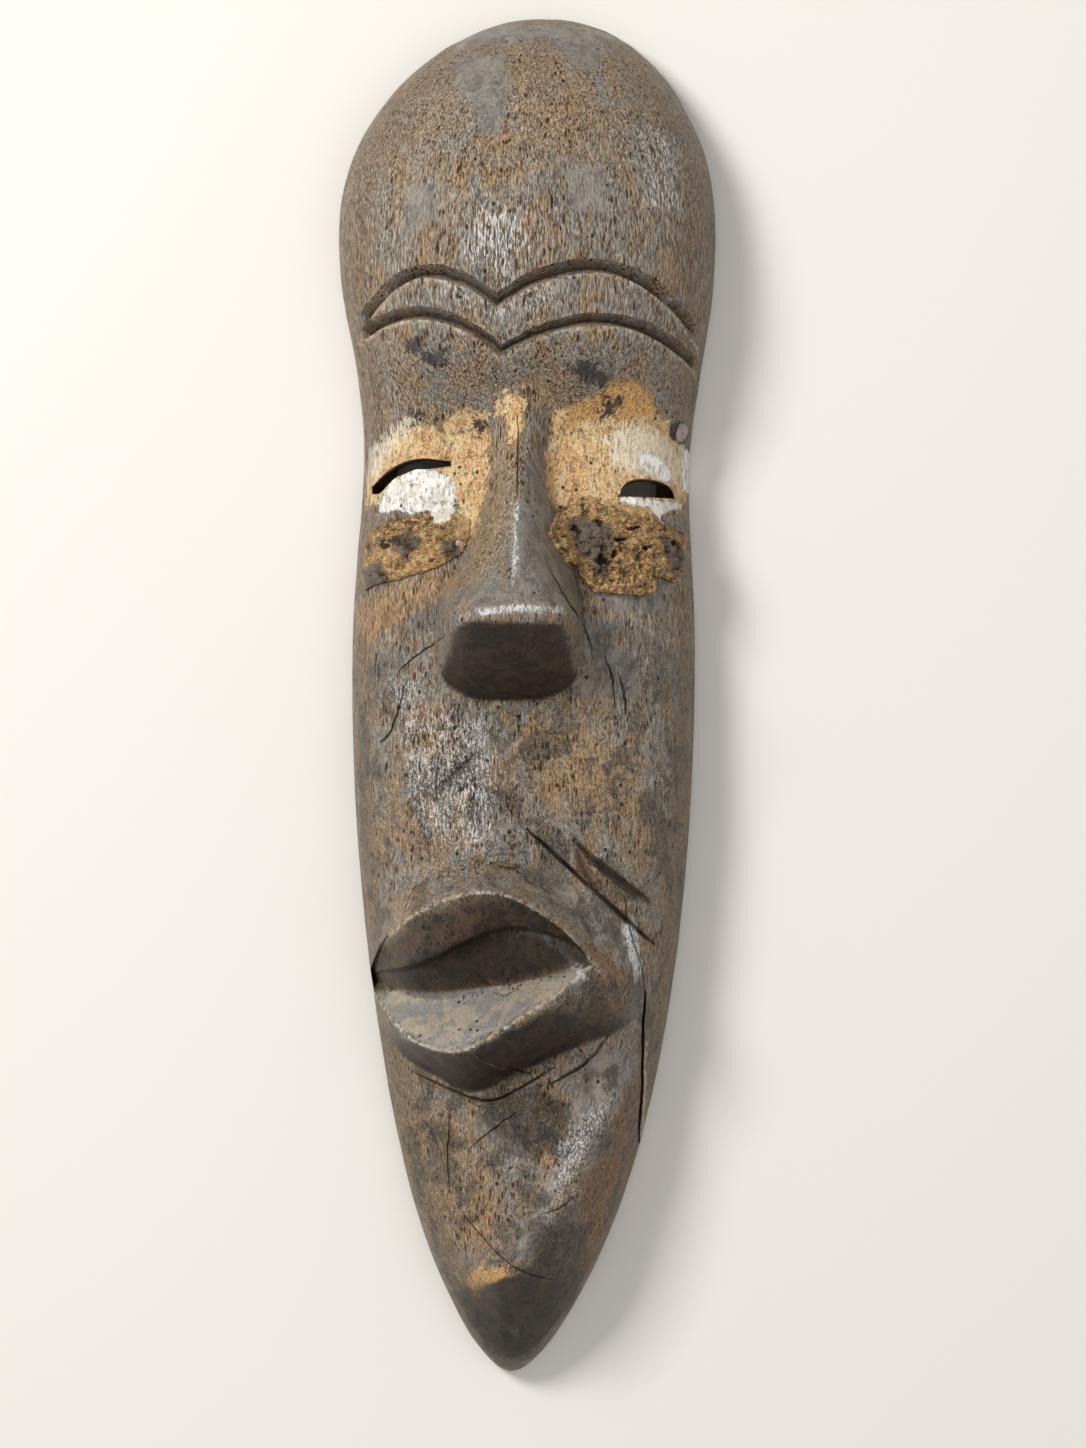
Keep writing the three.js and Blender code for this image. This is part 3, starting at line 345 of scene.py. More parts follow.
FRONT_ACROSS, FRONT_ALONG = 164, 456
FINER_AT_NOSE, FINER_AT_MOUTH = (0.05, 0.05, 0.6), (-0.36, 0.1, 0.6)  # place, reach, extra density
along = gathered(FRONT_ALONG, [FINER_AT_NOSE, FINER_AT_MOUTH])
m, n, a = disc_grid(np.linspace(-1, 1, FRONT_ACROSS), along)
z = front_z(m, n)
proud = LIP_CORNER["proud"] * HALF_WIDTH * np.exp(-(((n - LIP_CORNER["at"]) / LIP_CORNER["reach"]) ** 2))
x = m * HALF_WIDTH - proud * ease(-0.75, -1, a) * ease(0.08, 0.4, z / DEPTH)
y = np.minimum(n * HALF_LENGTH, HALF_LENGTH - CROWN_SLOPE * z)
front = np.stack([x, y, z], -1)


def unit(vectors):
    """Vectors divided by their lengths."""
    return vectors / np.maximum(np.linalg.norm(vectors, axis=-1, keepdims=True), 1e-12)


def outward(points):
    """Unit normals of a grid of points, from its two directions."""
    return unit(np.cross(np.gradient(points, axis=0), np.gradient(points, axis=1)))


clear_of_rim = ease(0.0, 8 * MM, z)[..., None]
front = front + outward(front) * clear_of_rim * wood_relief(front)[..., None]
front = np.clip(front, BODY_LOW, BODY_HIGH)
mask = domed_block("mask", front)


# The hollow behind the face, gouged out to a wall of even thickness.
HOLLOW_BELOW = 2 * MM  # how far the cut starts under the rim
HOLLOW_GRID = (60, 170)
m, n, a = disc_grid(*(np.linspace(-1, 1, count) for count in HOLLOW_GRID))
r, dome = dome_at(m, n)
spine = DEPTH * curve(SPINE, n)
depth = spine + DEPTH * chin_height(m, n) - WALL + HOLLOW_BELOW
x = m * HALF_WIDTH - RIM_WIDTH * (m - middle_at(n)) / np.maximum(half_at(n), 0.2)
y = n * (HALF_LENGTH - RIM_WIDTH)
gouge_marks = 0.5 * MM * lattice_noise(21, x / (11 * MM), y / (26 * MM)) * ease(0, 20 * MM, dome)
z = depth * dome / spine - HOLLOW_BELOW + gouge_marks
hollow = domed_block("hollow", np.stack([x, y, z], -1))


# The brow grooves: a wedge carried along each arch, with a long wall that faces the chin.
UPPER_ARCH = {
    "left": (-0.536, 0.614), "right": (0.369, 0.619), "notch": -0.155,
    "fall": (0.564, 0.287, 0.169, 0.306),
}
LOWER_ARCH = {
    "left": (-0.583, 0.554), "right": (0.393, 0.543), "notch": -0.129,
    "fall": (0.259, 0.263, 0.16, 0.212),
}
UPPER_GROOVE = {"width": 6.3 * MM, "depth": 5.2 * MM}
LOWER_GROOVE = {"width": 5.6 * MM, "depth": 4.8 * MM}
GROOVE_WALL = 0.68
GROOVE_ENDS = (-0.945, 0.945)
GROOVE_STEPS = 90


def arch_at(arch, m):
    """Height of the arch at m: parabolas that fall from two peaks and meet at the notch."""
    left = m < arch["notch"]
    peak_m = np.where(left, arch["left"][0], arch["right"][0])
    peak_n = np.where(left, arch["left"][1], arch["right"][1])
    inner = np.where(left, arch["fall"][1], arch["fall"][2])
    outer = np.where(left, arch["fall"][0], arch["fall"][3])
    beyond = np.where(left, m < peak_m, m > peak_m)
    return peak_n - np.where(beyond, outer, inner) * (m - peak_m) ** 2


def dome_height(m, n):
    """The dome alone, without the features on it."""
    return dome_at(m, n)[1]


def on_front(m, n, height=front_z):
    """Points on the front, in metres."""
    return np.stack([m * HALF_WIDTH, n * HALF_LENGTH, height(m, n)], -1)


def outward_at(m, n, height=front_z, near=0.004):
    """The front's normal: the cross product of its slopes across and along."""
    across = on_front(m + near, n, height) - on_front(m - near, n, height)
    return unit(np.cross(across, on_front(m, n + near, height) - on_front(m, n - near, height)))


def closed_run(name, sections):
    """A closed body from rings of points carried along a path, with a fan at each end."""
    count, around = sections.shape[:2]
    last = (count - 1) * around
    ends = [list(range(around - 1, -1, -1)), list(range(last, last + around))]
    return new_object(name, sections, grid_faces(count, around, ring=True)[:, ::-1].tolist() + ends)


def wedge(name, near, far, deepest):
    """A closed wedge along a line: it runs through both edges and on, as far above as it is deep."""
    return closed_run(name, np.stack([2 * near - deepest, 2 * far - deepest, deepest], 1))


def groove(name, arch, width, depth, seed):
    """Wedge sections square to the arch: its edge, the deepest line below it, and the far edge."""
    left, right = (middle_at(0.5) + share * half_at(0.5) for share in GROOVE_ENDS)
    notch, steps = arch["notch"], np.linspace(0, 1, GROOVE_STEPS)
    m = np.concatenate([left + (notch - left) * steps, notch + (right - notch) * steps[1:]])
    n = arch_at(arch, m)
    edge = on_front(m, n, dome_height)
    before = unit(np.diff(edge, axis=0, prepend=edge[:1] * 2 - edge[1:2]))
    after = unit(np.diff(edge, axis=0, append=edge[-1:] * 2 - edge[-2:-1]))
    run = unit(before + after)
    out = outward_at(m, n, dome_height)
    down = unit(np.cross(run, out))
    mitre = 1 / np.maximum(np.sqrt((1 + np.sum(before * after, -1)) / 2), 0.5)[:, None]
    along = np.cumsum(np.linalg.norm(np.diff(edge, axis=0, prepend=edge[:1]), axis=-1)) / MM
    uneven = (lattice_noise(seed, along / 7) + 0.6 * lattice_noise(seed, along / 2.5, 0, 9))[:, None]
    edge = edge - down * 0.35 * MM * uneven
    deepest = edge + down * mitre * (GROOVE_WALL * width) - out * (depth + 0.3 * MM * uneven)
    far = edge + down * mitre * (width + 0.5 * MM * uneven)
    return wedge(name, edge, far, deepest)


# The open mouth: a dished lower lip, a floor that climbs to a break, and the roof of the upper lip.
MOUTH_DEPTH, FULL_GAP, MOUTH_FLOOR = 0.3, 0.213, 0.32
BREAK = [(-0.833, 0.5), (-0.6, 0.56), (-0.24, 0.68), (0.12, 0.78), (0.327, 0.86)]
DISH = [(0, 0), (0.3, 0.28), (0.8, 0.86), (1, 1)]
ROOF_FLOOR, ROOF_LEDGE, LEDGE_WIDTH = 0.66, 0.4, 0.04
SIDE = 0.985
MOUTH_ACROSS = 110


def mouth():
    """Sections across the mouth, whose depth is a share of how far the lips stand apart."""
    m = CORNERS[0] + (CORNERS[1] - CORNERS[0]) * (1 - np.cos(np.linspace(0, np.pi, MOUTH_ACROSS))) / 2
    lower = curve(LOWER_RIM, m)
    upper = np.maximum(curve(UPPER_RIM, m), lower + 0.002)
    depth = DEPTH * MOUTH_DEPTH * np.minimum((upper - lower) / FULL_GAP, 1) ** 0.75
    edge = curve(BREAK, m)[:, None]
    ledge = edge + LEDGE_WIDTH
    lip, floor, roof = np.linspace(0, 1, 14), np.linspace(0, 1, 9)[1:], np.linspace(0, 1, 12)[1:]
    t = np.concatenate([
        np.tile(MOUTH_FLOOR * lip, (len(m), 1)),
        MOUTH_FLOOR + (edge - MOUTH_FLOOR) * floor,
        ledge,
        ledge + (1 - ledge) * roof,
    ], 1)
    share = np.concatenate([
        curve(DISH, lip), 1 + (ROOF_FLOOR - 1) * floor, [ROOF_LEDGE], ROOF_LEDGE * (1 - roof),
    ])
    n = lower[:, None] + (upper - lower)[:, None] * t
    half = SIDE * half_at(n)
    m = np.clip(np.broadcast_to(m[:, None], n.shape), middle_at(n) - half, middle_at(n) + half)
    bed = on_front(m, n)
    cut = bed.copy()
    cut[..., 2] -= depth[:, None] * share
    cut[..., 2] += share * (1 - share) * 4 * wood_relief(cut * (1.6, 1.6, 1)) * 1.3
    rims = bed[:, [-1, 0]] + np.array([0, 0, 0.2 * DEPTH])
    return closed_run("mouth", np.concatenate([cut, rims], 1))


# The slits and the blade cuts.
LEFT_SLIT = [(-66.5, 89.4), (-61, 94.3), (-55.5, 97.7), (-49.6, 99.6), (-42.2, 100.1), (-33, 99.9)]
LEFT_SLIT_WIDTH = 4.9 * MM
RIGHT_SLIT = {"from": 40 * MM, "to": 64.3 * MM, "y": 85.65 * MM, "height": 8 * MM, "lean": 0.35}
SLIT_FROM, SLIT_TO = 0.15 * DEPTH, 1.1 * DEPTH
SLIT_STEPS = 40


def slit(name, outline):
    """An outline carried straight through the wall."""
    ends = [np.column_stack([outline, np.full(len(outline), z)]) for z in (SLIT_FROM, SLIT_TO)]
    return closed_run(name, np.stack(ends))


def left_slit():
    """A band of even width about a curved line, with a rounded outer end."""
    places = np.array(LEFT_SLIT) * MM
    share = np.linspace(0, len(places) - 1, SLIT_STEPS)
    line = np.stack([curve(list(zip(range(len(places)), places[:, k])), share) for k in range(2)], -1)
    run = unit(np.gradient(line, axis=0))
    side = np.stack([-run[:, 1], run[:, 0]], -1) * LEFT_SLIT_WIDTH / 2
    wobble = 1 + 0.1 * np.sin(np.linspace(0, 17, SLIT_STEPS))[:, None]
    side = side * (1 - 0.45 * ease(0.72, 1, np.linspace(0, 1, SLIT_STEPS)))[:, None]
    end = line[0] - run[0] * LEFT_SLIT_WIDTH * 0.42
    return slit("left_slit", np.concatenate([line - side * wobble, (line + side)[::-1], [end]]))


def right_slit():
    """A half moon: a flat sill under a low arch of two joined curves."""
    s = RIGHT_SLIT
    t = np.linspace(0, 1, 20)[:, None]
    top, turn = s["y"] + s["height"], (s["to"] - s["from"]) * s["lean"]
    p = np.array([
        (s["to"], s["y"]), (s["to"], top - MM), (s["to"] - turn, top + 0.5 * MM), (s["from"] + turn, top),
    ])
    outer = (1 - t) ** 3 * p[0] + 3 * (1 - t) ** 2 * t * p[1] + 3 * (1 - t) * t**2 * p[2] + t**3 * p[3]
    q = np.array([p[3], (s["from"], top - MM), (s["from"], s["y"])])
    inner = (1 - t) ** 2 * q[0] + 2 * (1 - t) * t * q[1] + t**2 * q[2]
    return slit("right_slit", np.concatenate([outer, inner[1:]]))


# Each cut's line, and its width and depth in millimetres.
BLADE_CUTS = {
    "cheek_cut": ([(-0.006, -0.192), (0.3, -0.27), (0.658, -0.362)], 2.4, 5),
    "cheek_gouge": ([(0.23, -0.207), (0.4, -0.252), (0.629, -0.3)], 4.5, 5),
    "jaw_split": ([(0.607, -0.427), (0.6, -0.5), (0.595, -0.573), (0.581, -0.69)], 1.6, 6),
    "jaw_crack": ([(0.5, -0.29), (0.52, -0.33), (0.585, -0.39), (0.605, -0.43)], 0.8, 2),
    "gouge_chip": ([(0.24, -0.215), (0.31, -0.262), (0.38, -0.29)], 7, 3.2),
    "lip_score": ([(-0.27, -0.51), (-0.13, -0.532), (0.02, -0.545)], 1.3, 2.2),
    "lip_fold": ([(-0.62, -0.545), (-0.4, -0.57), (-0.2, -0.585), (-0.03, -0.565), (0.14, -0.535)], 1.3, 2),
    "chin_fold": ([(0.12, -0.56), (0.3, -0.53), (0.42, -0.49)], 1.6, 2),
    "chin_score": ([(-0.4, -0.6), (-0.41, -0.66), (-0.405, -0.72)], 1.1, 1.4),
    "chin_line": ([(-0.37, -0.735), (-0.2, -0.79), (0.0, -0.83), (0.13, -0.845)], 0.9, 1.3),
    "chin_nick": ([(-0.3, -0.655), (-0.15, -0.62), (-0.05, -0.6)], 1.0, 1.4),
    "keel_nick": ([(0.05, -0.745), (0.17, -0.735), (0.24, -0.72)], 0.9, 1.2),
    "cheek_line": ([(-0.62, 0.02), (-0.7, -0.05), (-0.76, -0.07)], 1.0, 1.6),
    "cheek_fold": ([(-0.4, 0.085), (-0.55, 0.06), (-0.66, 0.035)], 1.0, 1.4),
    "nostril_line": ([(0.4, 0.055), (0.44, 0.02), (0.45, -0.02)], 1.0, 2),
    "nostril_score": ([(0.47, 0.03), (0.5, 0.0), (0.505, -0.03)], 1.3, 2),
    "flank_line": ([(0.11, 0.18), (0.19, 0.14), (0.3, 0.09), (0.34, 0.05)], 1.2, 1.8),
    "ridge_line": ([(-0.05, 0.403), (-0.047, 0.35), (-0.052, 0.3), (-0.05, 0.277)], 1.1, 1.8),
    "lip_nick": ([(-0.17, -0.24), (-0.1, -0.248), (-0.02, -0.244)], 0.9, 1.4),
    "scar": ([(-0.46, -0.14), (-0.35, -0.108), (-0.25, -0.083)], 7.5, 2.2),
}
CUT_STEPS = 60


def blade_cut(name, line, width, depth, seed):
    """A wedge along a line on the front that runs out at both ends and wanders a little."""
    stations = np.linspace(0, 1, CUT_STEPS)
    keys = np.linspace(0, 1, len(line))
    m, n = (curve(list(zip(keys, column)), stations) for column in np.array(line).T)
    m = m + 0.004 * lattice_noise(seed, stations * 14)
    middle = on_front(m, n)
    run = np.gradient(middle, axis=0)
    across = unit(np.stack([-run[:, 1], run[:, 0], run[:, 0] * 0], -1)) * (width * MM) / 2
    swell = np.sin(np.pi * (stations * 0.98 + 0.01))[:, None] ** 0.5
    across = across * (0.35 + 0.65 * swell)
    deepest = middle - np.array([0, 0, depth * MM]) * swell
    return wedge(name, middle + across, middle - across, deepest)


def carve(piece, cutters):
    """Cut solids out of a piece for good, and delete them."""
    for cutter in cutters:
        modifier = piece.modifiers.new(cutter.name, "BOOLEAN")
        modifier.operation, modifier.solver, modifier.object = "DIFFERENCE", "MANIFOLD", cutter
    graph = bpy.context.evaluated_depsgraph_get()
    carved = bpy.data.meshes.new_from_object(piece.evaluated_get(graph))
    piece.modifiers.clear()
    piece.data = carved
    for cutter in cutters:
        bpy.data.objects.remove(cutter)


cutters = [
    hollow,
    groove("upper_groove", UPPER_ARCH, seed=31, **UPPER_GROOVE),
    groove("lower_groove", LOWER_ARCH, seed=32, **LOWER_GROOVE),
    mouth(),
    left_slit(),
    right_slit(),
    *(blade_cut(name, *cut, seed=40 + k) for k, (name, cut) in enumerate(BLADE_CUTS.items())),
]
carve(mask, cutters)
SHARP_ABOVE = 38  # degrees between two faces whose edge stays crisp
mask.data.shade_smooth()
mask.data.set_sharp_from_angle(angle=np.radians(SHARP_ABOVE))
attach(mask, "root")
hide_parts("mask_body")


# Old paint and wear on the wood, with painted shade and painted highlights, as fields that the finish
# reads: 1 well inside an outline, 0 well outside, 0.5 on it. The finish frays their edges. Outlines are in
# millimetres, drawn on the front.
PATCHES = {
    "ochre": [
        [(-72, 82), (-71, 95), (-66, 106), (-58, 115), (-43, 117), (-38, 114), (-35, 120), (-26, 124),
         (-16, 121), (-16, 106), (-17, 92), (-20, 80), (-22, 71), (-26, 65), (-31, 70), (-30, 80),
         (-43, 96), (-60, 85)],
        [(10, 121), (18, 125), (29, 129), (34, 133), (39, 135), (48, 134), (54, 130), (56, 123),
         (61, 120), (71, 107), (71, 87), (67, 80), (50, 78), (39, 80), (23, 85), (12, 80), (8, 89),
         (8, 103)],
        [(-15, 125), (-10, 130), (-4, 130), (1, 125), (-3, 109), (-8, 106), (-10, 120), (-15, 118)],
    ],
    "kaolin": [
        [(-65, 79), (-64, 86), (-59, 93), (-51, 97), (-41, 98), (-32, 93), (-30, 87), (-31, 80),
         (-36, 74), (-40, 75), (-43, 80), (-50, 78), (-56, 80)],
        [(48, 104), (53, 106), (61, 100), (65, 93), (59, 93), (50, 98)],
        [(40, 86), (50, 85), (67, 84), (68, 82), (61, 80), (57, 76), (53, 81), (41, 83)],
        [(67, 109), (72, 108), (73, 89), (68, 90)],
        [(-8, -276), (-4, -276), (-4, -279), (-8, -279)],
    ],
    "chalky": [
        [(-71, 95), (-69, 107), (-61, 114), (-51, 121), (-47, 120), (-51, 114), (-62, 104), (-65, 96)],
        [(34, 112), (45, 117), (59, 113), (67, 104), (67, 93), (50, 95), (36, 100)],
    ],
    "orange": [
        [(15, 123), (31, 130), (35, 135), (48, 135), (56, 130), (54, 122), (45, 119), (31, 120),
         (18, 118)],
        [(-26, -251), (-19, -246), (-9, -247), (-4, -255), (-4, -260), (-17, -257), (-20, -263),
         (-24, -261)],
    ],
    "black": [
        [(18, 140), (28, 142), (35, 139), (34, 132), (23, 134)],
        [(-24, 122), (-17, 118), (-17, 113), (-21, 113), (-24, 119)],
        [(-50, 123), (-46, 124), (-45, 119), (-49, 118)],
        [(-53, 152), (-45, 153), (-45, 147), (-53, 146)],
        [(-45, 146), (-34, 148), (-35, 141), (-43, 139)],
        [(33, 128), (40, 129), (37, 121), (30, 117)],
    ],
    "drips": [
        [(-76, 40), (-61, 45), (-50, 51), (-39, 55), (-29, 53), (-30, 46), (-40, 40), (-49, 36),
         (-56, 31), (-67, 23), (-75, 26)],
    ],
    "smooth": [
        [(-33, 290), (-7, 294), (16, 293), (39, 290), (29, 272), (16, 276), (8, 286), (-10, 282),
         (-31, 282)],
        [(-32, 276), (-10, 279), (-7, 260), (-12, 240), (-18, 240), (-23, 253), (-32, 266)],
        [(12, 229), (33, 227), (32, 206), (19, 206)],
        [(-53, 219), (-36, 218), (-40, 202), (-53, 196)],
        [(-4, 80), (5, 106), (10, 109), (12, 80), (18, 58), (23, 48), (18, 36), (-4, 39), (-8, 48)],
        [(-30, 43), (-21, 48), (-4, 52), (12, 50), (18, 37), (1, 32), (-21, 33)],
        [(23, 32), (34, 30), (48, 15), (49, -1), (23, -1), (22, 10)],
        [(23, 51), (61, 48), (60, 36), (36, 36), (26, 43)],
        [(-69, -129), (-25, -130), (2, -125), (24, -116), (25, -121), (7, -132), (-10, -143),
         (-23, -151), (-35, -152), (-50, -148), (-62, -138)],
        [(7, -70), (38, -94), (47, -102), (49, -122), (34, -110), (19, -97), (0, -82)],
        [(27, -156), (48, -154), (47, -166), (36, -180), (23, -198), (7, -227), (-4, -247), (-9, -241),
         (5, -215), (17, -192)],
        [(-25, -183), (-13, -178), (-1, -183), (-3, -196), (-17, -194)],
    ],
    # Painted highlights: pale glints on the ridges of the forehead, the left cheek and the chin's keel.
    "streaks": [
        [(-28, 190), (-18, 207), (-2, 207), (3, 196), (-10, 176), (-23, 185)],
        [(49, 245), (64, 242), (67, 211), (52, 210)],
        [(-40, 176), (-31, 174), (-12, 163), (3, 172), (11, 175), (6, 166), (-10, 161), (-28, 166)],
        [(-60, 6), (-49, 6), (-45, -9), (-33, -7), (-18, -13), (-13, -32), (-18, -70), (-28, -65),
         (-45, -60), (-50, -40), (-55, -6)],
        [(15, -192), (27, -180), (39, -173), (38, -180), (27, -197), (17, -221), (10, -225)],
    ],
    # Painted highlights along the nose's ridge, the nose tip's edge, the upper lip's rim and the ridge past
    # the mouth's right corner.
    "gleam": [
        [(-5.0, 81), (-3.8, 81), (-3.9, 58), (-5.4, 46), (-6.6, 46), (-5.3, 65)],
        [(-21, 35.6), (-4, 37.4), (15, 36.4), (16.5, 34), (-3.5, 34.4), (-20, 33)],
        [(-5, -99), (6, -100), (20, -112), (26, -121), (24, -122), (16, -112), (4, -103), (-6, -102)],
        [(41, -100), (46, -96), (50, -118), (47, -124), (44, -112)],
    ],
    # Painted shade: the mouth's floor under the upper lip, the bands under the lower lip and the lower
    # chin.
    "shade": [
        [(-57, -120), (-40, -109), (-20, -103), (-8, -102), (10, -104), (23, -112), (8, -119),
         (-7, -122), (-22, -125), (-38, -127), (-52, -127)],
        [(-25, -170), (-12, -164), (6, -153), (21, -144), (21, -148), (8, -158), (-10, -168),
         (-24, -173)],
        [(-1, -140), (16, -135), (16, -139), (2, -144)],
        [(9, -229), (27, -229), (24, -250), (20, -266), (2, -291), (-8, -299), (-20, -290),
         (-33, -270), (-24, -258), (-3, -263), (2, -250)],
        [(-46, -186), (-36, -186), (-26, -194), (-30, -198), (-42, -194)],
        [(-22, -176), (4, -168), (18, -178), (16, -196), (-6, -196), (-20, -186)],
    ],
    "lip": [
        [(-66, -131), (-56, -128), (-38, -128), (-7, -124), (20, -117), (25, -118), (0, -134),
         (-13, -142), (-28, -150), (-38, -152), (-50, -146), (-62, -137)],
    ],
    "scar": [
        [(-43, -39), (-37, -33), (-22, -23), (-21, -25), (-29, -37), (-38, -44)],
    ],
    "rust": [
        [(37, -183), (48, -163), (51, -190), (47, -215), (37, -236), (31, -251), (23, -261),
         (20, -251), (22, -221), (27, -207)],
        [(24, -102), (32, -110), (47, -125), (50, -128), (34, -127), (27, -120)],
    ],
    "tan": [
        [(-56, -176), (-41, -180), (-29, -187), (-17, -211), (-11, -231), (-17, -241), (-31, -237),
         (-48, -215), (-55, -192)],
        [(0, -13), (24, -13), (47, -32), (52, -60), (34, -50), (7, -38)],
        [(-10, 280), (11, 280), (24, 260), (37, 245), (16, 232), (-2, 242)],
        [(-9, 128), (-3, 126), (-5, 100), (-11, 72), (-19, 50), (-25, 50), (-19, 74), (-13, 100)],
        [(-76, 165), (-70, 190), (-74, 225), (-82, 215), (-82, 180)],
    ],
}
PATCH_SOFTNESS = {
    "ochre": 5, "kaolin": 3, "chalky": 5, "orange": 5, "black": 4, "drips": 6, "smooth": 9, "streaks": 8,
    "gleam": 3, "shade": 7, "lip": 3, "scar": 1.5, "rust": 6, "tan": 10,
}
NAIL_SHADE_RINGS = [((0.792, 0.383), 4.7 * MM), ((-0.35, 0.218), 3.2 * MM)]  # painted shade: dark rings round the nails


def within(outline, x, y, softness):
    """0.5 on a closed outline, rising to 1 inside and falling to 0 outside over the softness."""
    inside = np.zeros(len(x), bool)
    distance = np.full(len(x), np.inf)
    for (ax, ay), (bx, by) in zip(outline, outline[1:] + outline[:1]):
        dx, dy = bx - ax, by - ay
        t = np.clip(((x - ax) * dx + (y - ay) * dy) / (dx * dx + dy * dy), 0, 1)
        distance = np.minimum(distance, np.hypot(x - ax - t * dx, y - ay - t * dy))
        if ay != by:
            inside ^= ((ay > y) != (by > y)) & (x < ax + (y - ay) * dx / dy)
    return np.clip(0.5 + np.where(inside, 0.5, -0.5) * distance / softness, 0, 1)


def patch_field(outlines, x, y, softness):
    """The highest of several outlines' fields."""
    return np.max([within(outline, x, y, softness) for outline in outlines], 0)


def points_of(piece):
    """Places and normals of a mesh's vertices."""
    count = len(piece.data.vertices)
    places, normals = np.empty(count * 3), np.empty(count * 3)
    piece.data.vertices.foreach_get("co", places)
    piece.data.vertex_normals.foreach_get("vector", normals)
    return places.reshape(-1, 3), normals.reshape(-1, 3)


def store(piece, name, values):
    """Keep a value for each vertex, which the finish reads by its name."""
    attribute = piece.data.attributes.new(name, "FLOAT", "POINT")
    attribute.data.foreach_set("value", np.asarray(values, np.float32))


places, normals = points_of(mask)
x, y, z = places.T
m, n = x / HALF_WIDTH, np.clip(y / HALF_LENGTH, -1, 1)
r, dome = dome_at(m, n)
spine = DEPTH * curve(SPINE, n)
ceiling = (spine + DEPTH * chin_height(m, n) - WALL + HOLLOW_BELOW) * dome / spine - HOLLOW_BELOW
inner = (z < ceiling + 4 * MM) & (r < 0.93) | (z < 0.1 * MM)
for name, outlines in PATCHES.items():
    field = patch_field(outlines, x / MM, y / MM, PATCH_SOFTNESS[name])
    # The rings round the nails are painted shade, added to the field of the soot patches.
    if name == "black":
        for at, reach in NAIL_SHADE_RINGS:
            away = np.hypot(x - at[0] * HALF_WIDTH, y - at[1] * HALF_LENGTH)
            field = np.maximum(field, ease(1.15 * reach, 0.8 * reach, away))
    store(mask, name, np.where(inner, 0, field))
# Thin lines along the lips' rims, beside the jaw's split and at the grooves' lower edges, where edges catch
# the light: the finish lightens them as painted highlight and rubbed wear.
edge = np.zeros(len(x))
for line, width, low, high in ((UPPER_RIM, 0.9 * MM, 0.12, 0.8), (LOWER_RIM, 1.1 * MM, 0.08, 0.82)):
    distance, share = from_line(line, m, n)
    ends = ease(low - 0.08, low, share) * ease(high + 0.08, high, share)
    edge = np.maximum(edge, ease(width, 0.3 * width, np.abs(distance)) * ends)
distance, share = from_line(BLADE_CUTS["jaw_split"][0], m, n)
ends = ease(0.3, 0.4, share) * (share < 0.98)
edge = np.maximum(edge, ease(0.9 * MM, 0.3 * MM, np.abs(distance + 1.4 * MM)) * ends)
for arch, facts in ((UPPER_ARCH, UPPER_GROOVE), (LOWER_ARCH, LOWER_GROOVE)):
    slope = (arch_at(arch, m + 0.01) - arch_at(arch, m - 0.01)) * HALF_LENGTH / (0.02 * HALF_WIDTH)
    below = (arch_at(arch, m) - n) * HALF_LENGTH / np.hypot(1, slope) - facts["width"]
    ends = (np.abs(m) < 0.95) * (r < 0.97)
    edge = np.maximum(edge, 0.8 * ease(1.1 * MM, 0.2 * MM, np.abs(below - 0.4 * MM)) * ends)
store(mask, "edge", edge * ~inner)
# How far a place lies below the front, in grooves, cuts and the mouth: the finish darkens it as painted
# shade, with some grime.
store(mask, "sunken", np.clip((front_z(m, n) - z) / (3 * MM), 0, 1) * ~inner)
store(mask, "inner", inner)
store(mask, "side", ease(0.85, 0.5, normals[:, 2]) * (normals[:, 1] > -0.75) * ease(0.84, 0.92, r))
# Surfaces that face down, towards the chin and away from the lamp: the finish darkens them as painted
# shade, with some darker patina.
store(mask, "underside", ease(0.35, 0.6, -normals[:, 1]) * (r < 0.97) * (n < 0.2) * ~inner)
store(mask, "calm", ease(0.3, -0.1, n))
store(mask, "relief", wood_relief(places) / (0.5 * MM))


# The crusts
# Cakes of ochre clay and pigment that were daubed under the eyes and left to dry and crack. Each
# lies on the wood: thick at its middle, crumbly and pitted on top, with a ragged lip.
RIGHT_CRUST = {
    "centre": (0.45, 0.215),
    "edge": [
        (0.094, 0.23), (0.144, 0.208), (0.198, 0.185), (0.261, 0.172), (0.287, 0.159), (0.339, 0.142),
        (0.476, 0.141), (0.596, 0.14), (0.658, 0.15), (0.636, 0.169), (0.692, 0.166), (0.75, 0.16),
        (0.795, 0.172), (0.807, 0.214), (0.802, 0.236), (0.692, 0.249), (0.629, 0.268), (0.465, 0.277),
        (0.265, 0.289), (0.124, 0.262),
    ],
    "thickness": 5.5 * MM, "thinning": 0,
    "lumps": [
        ((0.32, 0.232), (0.11, 0.032), 2.6), ((0.52, 0.245), (0.13, 0.02), 1.6),
        ((0.6, 0.2), (0.13, 0.025), 1.2), ((0.3, 0.18), (0.09, 0.02), -1.5),
    ],
    "holes": [
        (21, 70, 1.6, 2.2), (20, 63, 1.5, 1.6), (32, 57.5, 2.6, 1.5), (38, 66.5, 2.6, 1.3),
        (44, 73.5, 2.6, 1.1), (30, 74, 1.1, 1.7), (50, 63, 1.9, 1.1), (61, 66, 1.6, 1.2),
        (36, 61, 1.1, 1.6),
    ],
    "lump_size": 9.5, "rough": 0.9,
}
